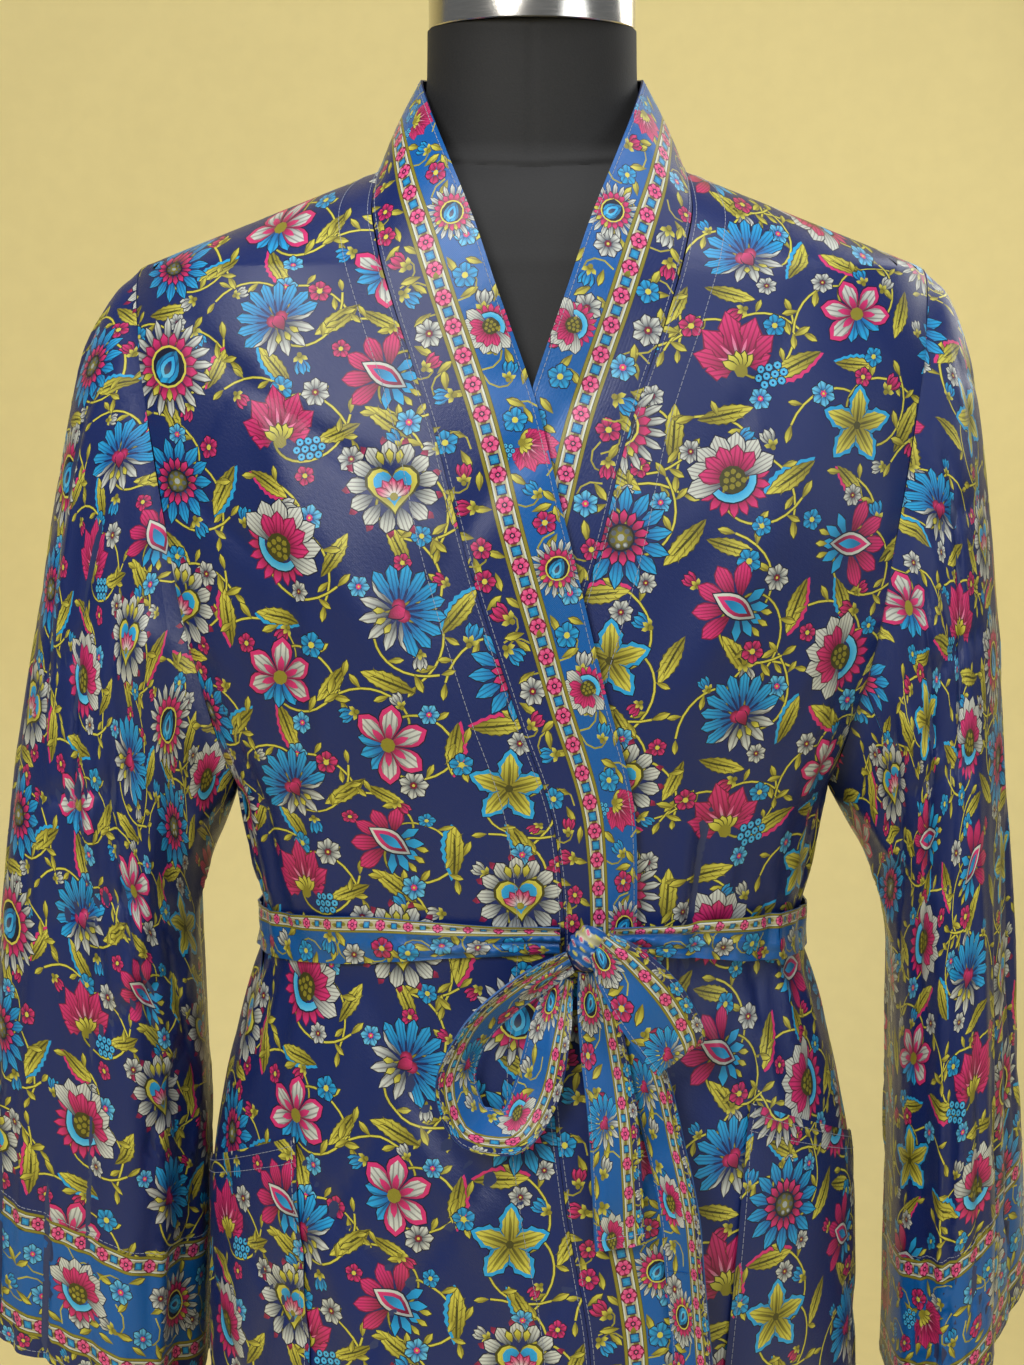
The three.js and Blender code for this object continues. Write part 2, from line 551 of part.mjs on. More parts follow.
function beltPoint(turn, up, off) {
  const z = beltHeight(turn) + up;
  const behind = Math.cos(turn) < 0;
  if (behind) return bodyPoint(z, Math.atan2(Math.sin(turn), -Math.cos(turn)), true, off);
  const x = sectionAt(z, false).half * Math.sign(turn) * Math.pow(Math.abs(Math.sin(turn)), 2 / ROUNDING);
  return frontPoint(x, z, 1, off);
}

function beltWrap() {
  const knotTurn = turnAt(KNOT.x, KNOT.z);
  const clear = rad(4.5);
  const grid = spread(knotTurn + clear, knotTurn + 2 * Math.PI - clear, 61).map((turn) => {
    const from = Math.abs(THREE.MathUtils.euclideanModulo(turn - knotTurn + Math.PI, 2 * Math.PI) - Math.PI);
    const half = BELT_HALF - BELT_PINCH * (1 - ease((from - clear) / rad(42)));
    const wrapped = turn > Math.PI ? turn - 2 * Math.PI : turn;
    return spread(-1, 1, 4).map((up) => {
      const swell = 0.8 * (1 - up * up);
      return beltPoint(wrapped, up * half, BELT_OFF + swell);
    });
  });
  return wall(grid, BELT_CLOTH);
}

/** A ribbon over the front, through its rows. */
function ribbon(rows, samples) {
  const placed = rows.map((row, at) => ({ ...row, at }));
  const grid = spread(0, rows.length - 1, samples).map((at) => {
    const value = (column) => read(placed, column, at, "at");
    const middle = frontPoint(value("x"), value("z"), 1, value("off"));
    const tilt = rad(value("tilt"));
    const turn = rad(value("turn"));
    const across = new THREE.Vector3(Math.cos(tilt), 0, Math.sin(tilt)).multiplyScalar(Math.cos(turn));
    across.y = -Math.sin(turn);
    return spread(-1, 1, 4).map((w) => middle.clone().addScaledVector(across, w * value("half")));
  });
  return wall(grid, BELT_CLOTH);
}

function knot() {
  const geometry = new THREE.SphereGeometry(1, 16, 10);
  const centre = frontPoint(KNOT.x, KNOT.z, 1, KNOT.off);
  geometry.scale(KNOT.wide, KNOT.deep, KNOT.tall);
  geometry.translate(centre.x, centre.y, centre.z);
  return geometry;
}

// ---- dress form and stand ----
function torso() {
  const sides = 32;
  const rings = FORM_ROWS.map((row) =>
    Array.from({ length: sides }, (_, k) => {
      const turn = (2 * Math.PI * k) / sides;
      const s = Math.sin(turn);
      const c = Math.cos(turn);
      const power = 2 / 2.15;
      const depth = c > 0 ? row.front + SEAM_Y : row.back - SEAM_Y;
      const x = row.half * Math.sign(s) * Math.pow(Math.abs(s), power);
      const y = SEAM_Y - depth * Math.sign(c) * Math.pow(Math.abs(c), power);
      return new THREE.Vector3(x, y, row.z);
    }),
  );
  return loft(rings);
}

function lathe(profile, x, y, z, segments = 32) {
  const geometry = new THREE.LatheGeometry(profile.map(([r, h]) => new THREE.Vector2(r, h)), segments);
  geometry.rotateX(Math.PI / 2);
  geometry.translate(x, y, z);
  return geometry;
}

const neckCap = () =>
  lathe(
    [
      [0, 0],
      [CAP.half, 0],
      [CAP.half, CAP.height - CAP.rim],
      [CAP.half - CAP.rim, CAP.height],
      [CAP.half * 0.6, CAP.height + CAP.dome * 0.75],
      [0, CAP.height + CAP.dome],
    ],
    0, -SEAM_Y + CAP.midY, CAP.z,
  );

const pole = () =>
  lathe([[0, FOOT.thick + FOOT.hubTall + SEAM_GAP], [POLE_R, FOOT.thick + FOOT.hubTall + SEAM_GAP],
    [POLE_R, FORM_ROWS[0].z - SEAM_GAP], [0, FORM_ROWS[0].z - SEAM_GAP]], 0, 0, 0, 24);

const foot = () =>
  lathe([[0, 0], [FOOT.r, 0], [FOOT.r, FOOT.thick * 0.6], [FOOT.r - 5, FOOT.thick],
    [FOOT.hub + 6, FOOT.thick + 4], [FOOT.hub, FOOT.thick + FOOT.hubTall * 0.3],
    [POLE_R + 5, FOOT.thick + FOOT.hubTall], [0, FOOT.thick + FOOT.hubTall]], 0, 0, 0);

// ---- the object ----
const print = { color: 0x232f66, roughness: 0.5, metalness: 0 };
const border = { color: 0x1464a8, roughness: 0.5, metalness: 0 };
const black = { color: 0x202124, roughness: 0.85, metalness: 0 };
const steel = { color: 0xb9b6ae, roughness: 0.28, metalness: 1 };
const robe = new THREE.Group();
const form = new THREE.Group();
const object = new THREE.Group();
object.add(robe, form);

function piece(group, name, geometry, finish) {
  const mesh = new THREE.Mesh(geometry, new THREE.MeshStandardMaterial(finish));
  mesh.name = name;
  group.add(mesh);
}

piece(robe, "back", backPanel(), print);
piece(robe, "front_right", frontPanel(-1), print);
piece(robe, "front_left", frontPanel(1), print);
piece(robe, "sleeve_right", sleeve(RIGHT_SLEEVE_ROWS, RIGHT_SLEEVE_FOLDS, -1), print);
piece(robe, "sleeve_left", sleeve(LEFT_SLEEVE_ROWS, LEFT_SLEEVE_FOLDS, 1), print);
piece(robe, "band_right", bandHalf(-1), border);
piece(robe, "band_left", bandHalf(1), border);
piece(robe, "pocket_right", pocket(POCKET_RIGHT, -1), print);
piece(robe, "pocket_left", pocket(POCKET_LEFT, 1), print);
piece(robe, "belt_wrap", beltWrap(), border);
piece(robe, "belt_knot", knot(), border);
piece(robe, "belt_loop_left", ribbon(LOOP_LEFT_ROWS, 19), border);
piece(robe, "belt_loop_right", ribbon(LOOP_RIGHT_ROWS, 22), border);
piece(robe, "belt_tail_short", ribbon(TAIL_SHORT_ROWS, 12), border);
piece(robe, "belt_tail_long", ribbon(TAIL_LONG_ROWS, 16), border);
piece(form, "form_torso", torso(), black);
piece(form, "form_neck_cap", neckCap(), steel);
piece(form, "form_pole", pole(), steel);
piece(form, "form_foot", foot(), black);

export default object;
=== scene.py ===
"""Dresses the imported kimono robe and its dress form: printed satin, sewing, steel, floor, lights and camera.

Lengths are worked out in millimetres and turned to metres where a mesh is made. The print is drawn as
flat shapes on each piece's own cut, as a screen printer would, and the cloth's net is cut along them.
"""

import logging
import math
from dataclasses import dataclass, field, replace
from enum import Enum
from typing import Callable, Optional, Sequence

import bmesh
import bpy
import numpy as np
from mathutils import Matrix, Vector
from mathutils.geometry import delaunay_2d_cdt
from mathutils.kdtree import KDTree

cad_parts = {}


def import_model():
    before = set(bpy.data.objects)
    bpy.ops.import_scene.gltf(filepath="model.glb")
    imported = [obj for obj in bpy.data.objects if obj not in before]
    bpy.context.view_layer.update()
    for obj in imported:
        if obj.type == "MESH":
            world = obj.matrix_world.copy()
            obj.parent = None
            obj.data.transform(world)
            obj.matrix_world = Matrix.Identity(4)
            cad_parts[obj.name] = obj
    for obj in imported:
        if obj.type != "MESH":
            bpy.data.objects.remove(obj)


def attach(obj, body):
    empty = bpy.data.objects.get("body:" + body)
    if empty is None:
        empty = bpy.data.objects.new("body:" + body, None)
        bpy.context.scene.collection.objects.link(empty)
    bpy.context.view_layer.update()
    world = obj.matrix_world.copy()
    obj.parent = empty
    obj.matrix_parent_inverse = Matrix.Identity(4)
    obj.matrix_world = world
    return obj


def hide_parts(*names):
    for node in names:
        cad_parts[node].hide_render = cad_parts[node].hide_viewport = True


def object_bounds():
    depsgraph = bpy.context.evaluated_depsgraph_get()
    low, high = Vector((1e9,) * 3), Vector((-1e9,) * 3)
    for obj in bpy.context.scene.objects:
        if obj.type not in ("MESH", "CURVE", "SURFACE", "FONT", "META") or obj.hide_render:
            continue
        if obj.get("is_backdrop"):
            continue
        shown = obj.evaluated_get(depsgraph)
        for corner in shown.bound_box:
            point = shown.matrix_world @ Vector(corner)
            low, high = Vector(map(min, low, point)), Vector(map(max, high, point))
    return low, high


LOG = logging.getLogger("robe")
MM = 0.001
# In millimetres: points nearer than WELD are one. A print's edges have a point every BEND at least, those that
# are left out lie within STRAY of a line no longer than STRAIGHT, and loose points lie FREE from any edge.
WELD = 0.002
BEND, STRAIGHT, STRAY, FREE = 6.0, 7.0, 0.16, 2.4
Array = np.ndarray
Point = tuple[float, float]
Box = tuple[float, float, float, float]


# ---------------------------------------------------------------- numbers
class Table:
    """A short table with named columns, read along smooth curves that never overshoot a row."""

    def __init__(self, columns: str, *rows: Sequence[float]) -> None:
        self.columns = {name: np.array(values, float) for name, values in zip(columns.split(), zip(*rows))}
        self.place = columns.split()[0]
        self.rows = [dict(zip(columns.split(), row)) for row in rows]

    def read(self, column: str, at: Array, place: str = "") -> Array:
        """Reads one column.

        Args:
            column: The column to read.
            at: Places in the table's first column, or in the one named by place.
            place: Another column to look the places up in.

        Returns:
            The column's value at each place, held level past the ends.
        """
        x, y = self.columns[place or self.place], self.columns[column]
        chord = np.diff(y) / np.diff(x)
        inner = np.where(chord[:-1] * chord[1:] > 0, 2 * chord[:-1] * chord[1:] / (chord[:-1] + chord[1:] + 1e-12), 0)
        slope = np.concatenate([chord[:1], inner, chord[-1:]])
        at = np.clip(at, x[0], x[-1])
        k = np.clip(np.searchsorted(x, at, side="right") - 1, 0, len(x) - 2)
        step = x[k + 1] - x[k]
        t = (at - x[k]) / step
        flat = 1 - t
        return (
            y[k] * (1 + 2 * t) * flat**2
            + slope[k] * step * t * flat**2
            + y[k + 1] * t * t * (3 - 2 * t)
            - slope[k + 1] * step * t * t * flat
        )

    def whole(self, samples: int) -> Array:
        """Even places from the table's first row to its last, counted in rows."""
        return np.linspace(0, len(self.rows) - 1, samples)

    def numbered(self) -> "Table":
        """The same table with a first column that counts its rows."""
        names = list(self.columns)
        return Table("at " + " ".join(names), *[(k, *row.values()) for k, row in enumerate(self.rows)])


def ease(x: Array) -> Array:
    """A smooth step from 0 to 1."""
    x = np.clip(x, 0, 1)
    return x * x * (3 - 2 * x)


def mix(a: Array, b: Array, t: Array) -> Array:
    """A straight blend from a to b."""
    return a + (b - a) * t


def unit(v: Array) -> Array:
    """The vectors of an array at length one."""
    return v / np.maximum(np.linalg.norm(v, axis=-1, keepdims=True), 1e-9)


def fold_sum(folds: Table, angle: Array, at: Array) -> Array:
    """How far a table's folds push the cloth out.

    Args:
        folds: Columns angle, foot, wide, start, peak, end and rise; angles are in degrees.
        angle: Angles round the piece, in degrees.
        at: Places along the piece, in the unit of start, peak and end.

    Returns:
        The push in millimetres.
    """
    total = np.zeros(np.broadcast(angle, at).shape)
    for fold in folds.rows:
        from_start = (at - fold["start"]) / (fold["peak"] - fold["start"])
        from_end = (at - fold["end"]) / (fold["peak"] - fold["end"])
        centre = mix(fold["angle"], fold["foot"], np.clip(from_start, 0, 1.3))
        away = (angle - centre + 180) % 360 - 180
        total = total + fold["rise"] * ease(np.minimum(from_start, from_end)) * np.exp(-((away / fold["wide"]) ** 2))
    return total


def ripple(x: Array, y: Array, seed: float) -> Array:
    """A faint, uneven undulation between -1 and 1, for cloth that never lies quite flat."""
    waves = ((0.031, 0.006, 0.0), (0.052, -0.009, 1.7), (0.083, 0.013, 4.1), (0.019, 0.021, 2.6), (0.12, -0.02, 5.2),
             (0.17, 0.05, 0.9), (0.21, -0.07, 3.3))
    total = sum(np.sin(a * x + b * y + phase + seed * (1 + a * 37)) for a, b, phase in waves)
    return total / len(waves)


def wrinkles(x: Array, y: Array, seed: float) -> Array:
    """Soft narrow ridges and troughs that run mostly along y, uneven in spacing, length and depth."""
    total = np.zeros(np.broadcast(x, y).shape)
    for a, b, phase, sign in ((0.041, 0.007, 0.3, 1.0), (0.055, -0.013, 2.2, -1.1), (0.034, 0.022, 4.0, -0.9)):
        bent = a * x + b * y + phase + seed + 1.1 * np.sin(0.012 * y + 2 * phase + seed)
        lasting = ease(0.45 + 0.8 * np.sin(0.014 * y - 0.016 * x + 3 * phase + seed))
        total = total + sign * lasting * np.exp(-((np.sin(bent) / 0.3) ** 2))
    return total


def puckers(first: float, last: float, foot: float, peak: float, end: float, seed: int) -> list[tuple[float, ...]]:
    """Small creases gathered in at the belt, uneven in spacing, length and depth.

    Args:
        first: The angle of the first, in degrees.
        last: The angle that none goes beyond.
        foot: The height where they fade out.
        peak: The height where they are deepest.
        end: The height where the belt takes them in.
        seed: The seed of their unevenness.

    Returns:
        Rows for a table of folds.
    """
    random, rows, angle = np.random.default_rng(seed), [], first
    while angle < last:
        a, b, c = random.uniform(-1, 1, 3)
        rows.append((angle, angle + 1.3 * a, 2.8 + 0.5 * b, foot + 28 * c, peak + 5 * b, end + 4 * a, 2.3 + 0.6 * c))
        angle += 12.5 + 3 * b
    return rows


# ---------------------------------------------------------------- the robe's sizes
UNDERARM_Z, TIP_Z, NECK_Z, HEM_Z = 1082.0, 1391.0, 1447.0, 350.0
UNDERARM_X, TIP_X, NECK_X = 180.0, 231.0, 88.0
SEAM_Y, ARMHOLE_HALF, ROUNDING = 5.0, 85.0, 2.25
SEAM_GAP, FRONT_LIFT, LIFT_TO, LIFT_FADE = 0.3, 2.3, 116.0, 50.0
PANEL_TOP = NECK_Z - 1.2
CLOTH, BAND_CLOTH, BELT_CLOTH = 0.7, 1.5, 1.1
# How high ripples and wrinkles stand, and the cloth's girth in one degree of turn.
BODY_RIPPLE, BODY_WRINKLE, MM_PER_DEGREE = 1.2, 2.1, 2.6
SLEEVE_RIPPLE, SLEEVE_WRINKLE, SLEEVE_CREASE, SLEEVE_HEAD = 1.5, 2.8, 1.6, 4.5
SLEEVE_MM_PER_DEGREE, SLEEVE_LONG = 2.1, 640.0

BODY = Table(
    "z half front back",
    (350, 226, 176, 172), (520, 214, 168, 160), (690, 204, 159, 149), (830, 202, 150, 138),
    (890, 193, 144, 129), (935, 181, 137, 119), (996, 165, 130, 107), (1035, 171, 132, 109),
    (1082, 180, 135, 113), (1150, 190, 137, 118), (1235, 205, 134, 122), (1300, 216, 124, 119),
    (1357, 226, 110, 111), (1391, 231, 99, 103), (1420, 150, 83, 91), (1447, 88, 62, 76),
)
BAND = Table(
    "z x width",
    (350, -50, 54), (775, -33, 54), (873, -18, 54), (935, -12, 50), (1018, -18, 40), (1079, -13, 44),
    (1153, 10, 50), (1238, 36.5, 56), (1302, 53, 57), (1363, 74, 57), (1400, 85, 56), (1424, 89.5, 56),
    (1447, 88, 56),
)
COLLAR_FRONT = Table(
    "z x y edge",
    (1346, 14.5, -119, 1364), (1391, 31, -92, 1413), (1420, 46, -71, 1450), (1439, 59, -36, 1482),
    (1447, 65, 0, 1499),
)
COLLAR_BACK = Table("share x y edge", (0, 65, 0, 1499), (0.33, 59, 36, 1502), (0.66, 36, 62, 1501), (1, 0, 70, 1500))

BODY_FOLDS = Table(
    "angle foot wide start peak end rise",
    (-168, -170, 8, 955, 350, -900, 8), (-143, -146, 9, 940, 350, -900, 10), (-117, -121, 8, 960, 420, -900, 7),
    (-96, -97, 8, 930, 350, -900, 9), (-70, -73, 9, 950, 350, -900, 8), (-45, -48, 8, 960, 350, -900, 7),
    (-24, -25, 7, 930, 400, -900, 5), (33, 36, 8, 955, 350, -900, 6), (55, 58, 8, 950, 350, -900, 8),
    (78, 80, 8, 940, 350, -900, 7), (100, 103, 9, 960, 350, -900, 10), (126, 128, 8, 945, 350, -900, 8),
    (150, 153, 9, 955, 350, -900, 9), (-150, -135, 9, 1330, 1110, 1015, 5), (-108, -112, 8, 1180, 1080, 1012, 4),
    (-62, -52, 8, 1310, 1120, 1030, 4), (-38, -24, 7, 1380, 1230, 1045, 3.5), (42, 26, 7, 1380, 1220, 1045, 3.5),
    (66, 54, 8, 1300, 1120, 1030, 4), (110, 113, 8, 1180, 1080, 1012, 4), (152, 138, 9, 1330, 1110, 1015, 5),
    (178, 177, 9, 1280, 1090, 1015, 3),
)
# The creases that the solids leave out: puckers at the belt and soft drag lines on chest and skirt.
BODY_CREASES = Table(
    "angle foot wide start peak end rise",
    *puckers(-86, -22, 880, 960, 992, 1), *puckers(24, 90, 875, 957, 992, 2), *puckers(-82, -28, 1108, 1038, 1008, 3),
    *puckers(26, 84, 1112, 1038, 1008, 4), *puckers(100, 176, 1112, 1029, 995, 5),
    *puckers(-170, -98, 1108, 1029, 995, 6), *puckers(102, 178, 872, 949, 979, 7),
    *puckers(-172, -104, 872, 949, 979, 8),
    (-58, -64, 5, 1385, 1300, 1160, 2.6), (-70, -80, 4, 1340, 1240, 1120, 3.0), (58, 65, 5, 1385, 1300, 1160, 2.6),
    (70, 80, 4, 1340, 1240, 1120, 3.0), (-30, -20, 3.5, 1300, 1200, 1090, 1.6), (33, 24, 3.5, 1290, 1190, 1080, 1.6),
    (-46, -40, 3, 1240, 1150, 1080, 1.5), (48, 42, 3, 1230, 1150, 1080, 1.5),
    (-60, -62, 4, 830, 640, 380, 2.2), (-34, -35, 4, 850, 650, 400, 2.0), (45, 46, 4, 840, 640, 380, 2.2),
    (68, 69, 4, 830, 620, 380, 2.4), (113, 115, 4, 850, 640, 380, 2.6), (138, 140, 4, 830, 620, 380, 2.4),
    (165, 166, 4, 850, 600, 380, 2.2), (-108, -110, 4, 850, 640, 380, 2.6), (-131, -133, 4, 830, 620, 380, 2.4),
    (-156, -158, 4, 850, 600, 380, 2.2),
)

RIGHT_SLEEVE = Table(
    "at outX outZ inX inZ deep outY inY",
    (0, 231, 1391, 180, 1082, 85, 5, 5), (0.06, 250, 1366, 184, 1069, 84, 5, 5),
    (0.14, 267, 1333, 190, 1053, 82, 4, 4), (0.24, 282, 1275, 199, 1032, 78, 2, 2),
    (0.38, 298, 1188, 207, 998, 74, 0, 0), (0.55, 317, 1082, 206, 940, 71, -3, -3),
    (0.76, 335, 930, 205, 838, 68, -5, -5), (1, 350, 748, 211, 694, 66, -6, -6),
)
LEFT_SLEEVE = Table(
    "at outX outZ inX inZ deep outY inY",
    (0, 231, 1391, 180, 1082, 85, 5, 5), (0.06, 247, 1368, 187, 1069, 85, 6, 4),
    (0.14, 260, 1333, 196, 1053, 85, 7, 3), (0.24, 271, 1275, 208, 1032, 84, 9, 0),
    (0.38, 281, 1188, 219, 998, 83, 12, -5), (0.55, 290, 1082, 225, 940, 82, 18, -10),
    (0.76, 303, 930, 227, 838, 82, 28, -15), (1, 319, 752, 229, 690, 82, 42, -18),
)
SLEEVE_COLUMNS = "angle foot wide start peak end rise"
RIGHT_SLEEVE_FOLDS = Table(
    SLEEVE_COLUMNS,
    (38, 38, 13, 0.12, 1, 3, 6), (78, 78, 12, 0.25, 1, 3, -7), (118, 118, 12, 0.1, 0.8, 3, 8),
    (150, 150, 11, 0.15, 1, 3, -6), (205, 205, 13, 0.15, 0.9, 3, 5), (245, 245, 13, 0.2, 1, 3, -6),
    (290, 290, 14, 0.1, 1, 3, 7), (330, 330, 12, 0.25, 1, 3, -4),
)
LEFT_SLEEVE_FOLDS = Table(
    SLEEVE_COLUMNS,
    (25, 25, 12, 0.15, 0.9, 3, 6), (62, 62, 12, 0.2, 1, 3, -6), (100, 100, 13, 0.1, 1, 3, 7),
    (142, 142, 12, 0.2, 0.8, 3, -6), (210, 210, 13, 0.15, 1, 3, 6), (252, 252, 13, 0.2, 1, 3, -7),
    (298, 298, 13, 0.1, 1, 3, 6), (335, 335, 12, 0.3, 1, 3, -4),
)
RIGHT_SLEEVE_CREASES = Table(
    SLEEVE_COLUMNS,
    (58, 60, 5, 0.3, 0.8, 2, 2.5), (98, 96, 5, 0.2, 0.7, 2, -3), (135, 132, 5, 0.25, 0.9, 2, 3.2),
    (20, 22, 5, 0.1, 0.5, 1.0, -2), (108, 96, 6, 0.0, 0.16, 0.4, 3), (75, 86, 6, 0.02, 0.2, 0.5, -2.5),
    (160, 150, 6, 0.02, 0.14, 0.36, 3.5), (225, 225, 5, 0.3, 0.9, 2, 2.6), (268, 266, 5, 0.2, 0.8, 2, -3),
    (310, 312, 5, 0.3, 1, 2, 2.4), (175, 172, 5, 0.18, 0.3, 0.5, 3), (185, 188, 4, 0.25, 0.4, 0.6, -3),
)
LEFT_SLEEVE_CREASES = Table(
    SLEEVE_COLUMNS,
    (44, 46, 4.5, 0.3, 0.9, 2, -3), (82, 80, 5, 0.2, 0.7, 2, 2.6), (122, 120, 5, 0.25, 0.9, 2, 3.0),
    (8, 10, 5, 0.1, 0.5, 1.1, 2), (105, 92, 6, 0.0, 0.16, 0.4, 3), (70, 82, 6, 0.02, 0.2, 0.5, -2.5),
    (160, 150, 6, 0.02, 0.14, 0.36, 3.5), (228, 228, 5, 0.3, 0.9, 2, 2.6), (275, 272, 5, 0.2, 0.8, 2, -3),
    (318, 318, 5, 0.3, 1, 2, 2.4), (176, 172, 5, 0.18, 0.3, 0.5, 3), (186, 189, 4, 0.25, 0.4, 0.6, -3),
)

BELT_BACK_Z, BELT_RISE, BELT_HALF, BELT_PINCH, BELT_OFF = 985.0, 34.0, 14.2, 6.0, 3.2
KNOT_X, KNOT_Z, KNOT_OFF, KNOT_SIZE = 30.0, 1016.0, 12.2, (12.0, 10.5, 13.0)
# How far the pockets stand off; then a pocket's upper and lower inner corner, the heights of its top at both
# ends, and its foot.
POCKET_OFF = 2.0
RIGHT_POCKET, LEFT_POCKET = (137, 121, 893, 838, 690), (126, 105, 914, 853, 700)
RIBBON_COLUMNS = "x z off half tilt turn"
LOOP_LEFT = Table(
    RIBBON_COLUMNS,
    (33, 1022, 24, 9, 55, 0), (43, 1008, 29, 17, 47, 4), (56, 987, 35, 21, 41, 6), (68, 965, 33.5, 19, 38, 4),
    (72, 956, 27, 15, 38, 0), (66, 965, 21, 14, 40, 0), (57, 984, 19, 12, 44, 0), (49, 1001, 17, 6, 50, 0),
)
LOOP_RIGHT = Table(
    RIBBON_COLUMNS,
    (19.5, 1010, 14, 7, 112, 15), (-6, 995, 21, 13, 122, 42), (-28, 972, 23, 15, 142, 48),
    (-38, 944, 22, 14, 182, 40), (-30, 919, 19, 13, 235, 34), (-12, 915, 16, 13, 290, 24),
    (2, 936, 15, 13.5, 332, 16), (9, 968, 14, 12, 346, 12), (16, 1000, 12.5, 6.5, 340, 6),
)
TAIL_SHORT = Table(
    RIBBON_COLUMNS,
    (31, 1002.4, 12.4, 7, 0, 0), (35, 975, 14, 12, 4, -4), (42, 925, 11.5, 14, 6, -6), (48, 846, 9.5, 14.5, 9, 0),
)
TAIL_LONG = Table(
    RIBBON_COLUMNS,
    (42, 1005, 10.5, 5, -24, 0), (52, 972, 9.5, 10, 14, 2), (66, 925, 12, 12, 10, 18), (78, 862, 13, 12.5, 6, 32),
    (86, 775, 13, 12.5, 4, 28), (90, 702, 12, 13.5, 2, 16),
)

FORM = Table(
    "z half front back",
    (772, 150, 100, 98), (778, 164, 112, 110), (800, 170, 117, 116), (870, 172, 119, 116), (935, 164, 117, 104),
    (985, 157, 118, 98), (1082, 168, 123, 104), (1150, 178, 127, 109), (1235, 190, 125, 114),
    (1300, 204, 115, 111), (1340, 214, 106, 106), (1357, 218, 100, 102), (1372, 219, 95.5, 98),
    (1386, 220, 91, 94), (1393, 218, 89, 92.5), (1400, 204.5, 86, 90.5), (1420, 153.5, 77, 84.5),
    (1436, 112.5, 66, 77), (1447, 83, 57, 70.5), (1460, 68, 54, 68), (1480, 63.5, 54, 67), (1500, 61.5, 54, 66),
    (1526, 61, 54, 65),
)
FORM_ROUNDING, FORM_FOOT_Z = 2.15, 772.0
CAP_Z, CAP_BASE, CAP_RADIUS, CAP_HEIGHT, CAP_DOME, CAP_Y = 1526.0, 1526.3, 60.0, 30.0, 7.0, 0.5
POLE_R, FOOT_R, FOOT_THICK, HUB_R, HUB_TALL = 16.0, 185.0, 9.0, 32.0, 44.0


class Side(Enum):
    """A side of the wearer; its value is the sign of its X."""

    RIGHT = -1
    LEFT = 1


# ---------------------------------------------------------------- the robe's shape
def bulge(turn: Array) -> Array:
    """The share of half its width that the rounded outline reaches at an angle."""
    return np.sign(turn) * np.abs(np.sin(turn)) ** (2 / ROUNDING)


class RobeForm:
    """The shape that the robe's body hangs in."""

    def edge(self, z: Array) -> tuple[Array, Array]:
        """Half the width and the armhole's reach where the panels end at a height."""
        up = (z - (UNDERARM_Z + TIP_Z) / 2) / ((TIP_Z - UNDERARM_Z) / 2)
        arm_x = mix(UNDERARM_X, TIP_X, (z - UNDERARM_Z) / (TIP_Z - UNDERARM_Z))
        shoulder_x = mix(TIP_X, NECK_X, (z - TIP_Z) / (NECK_Z - TIP_Z))
        x = np.where(z <= UNDERARM_Z, BODY.read("half", z), np.where(z >= TIP_Z, shoulder_x, arm_x))
        return x, np.where(np.abs(up) < 1, ARMHOLE_HALF * np.sqrt(np.clip(1 - up * up, 0, 1)), 0)

    def section(self, z: Array, behind: bool) -> tuple[Array, Array, Array]:
        """The body's rounded outline at a height.

        Args:
            z: Heights.
            behind: Whether the back's outline is wanted.

        Returns:
            Half its width, its depth and the angle where the panel ends.
        """
        x, out = self.edge(z)
        depth = BODY.read("back", z) - SEAM_Y if behind else BODY.read("front", z) + SEAM_Y
        share = np.clip(1 - (out / depth) ** ROUNDING, 0, 1) ** (1 / ROUNDING)
        return x / share, depth, np.arcsin(np.clip(share ** (ROUNDING / 2), 0, 1))

    def point(self, z: Array, turn: Array, behind: bool, lift: Array = 0.0) -> Array:
        """Points of the body in millimetres, turn being 0 at the centre and positive towards +X."""
        half, depth, last = self.section(z, behind)
        x = half * bulge(turn)
        out = depth * np.clip(np.cos(turn), 0, 1) ** (2 / ROUNDING)
        away = unit(np.stack(np.broadcast_arrays(x / half**2, out / depth**2), -1))
        degrees = np.degrees(turn)
        angle = 180 - degrees if behind else degrees
        girth = angle * MM_PER_DEGREE
        move = fold_sum(BODY_FOLDS, angle, z) + fold_sum(BODY_CREASES, angle, z) + lift
        move = move + BODY_RIPPLE * ripple(girth, z, 3.0) * np.clip((1330 - z) / 60, 0, 1)
        inside = ease((last - np.abs(turn)) / 0.16) * np.clip((1385 - z) / 60, 0, 1)
        move = move + BODY_WRINKLE * wrinkles(girth * np.sign(90 - np.abs(angle)), z, 1.3) * inside
        y = SEAM_Y + (out + away[..., 1] * move) * (1 if behind else -1)
        return np.stack(np.broadcast_arrays(x + away[..., 0] * move, y, z), -1)

    def turn_at(self, x: Array, z: Array) -> Array:
        """The front outline's angle at a distance from the centre."""
        share = np.clip(np.abs(x) / self.section(z, False)[0], 0, 1)
        return np.sign(x) * np.arcsin(share ** (ROUNDING / 2))

    def front(self, x: Array, z: Array, over: float, more: Array = 0.0) -> Array:
        """Points of a front: over is 1 for the upper one and -1 for the one beneath it."""
        near = 1 - ease((np.abs(x) - LIFT_TO) / LIFT_FADE)
        low = 1 - ease((z - 1290) / 70)
        return self.point(z, self.turn_at(x, z), False, over * FRONT_LIFT * near * low + more)


ROBE = RobeForm()


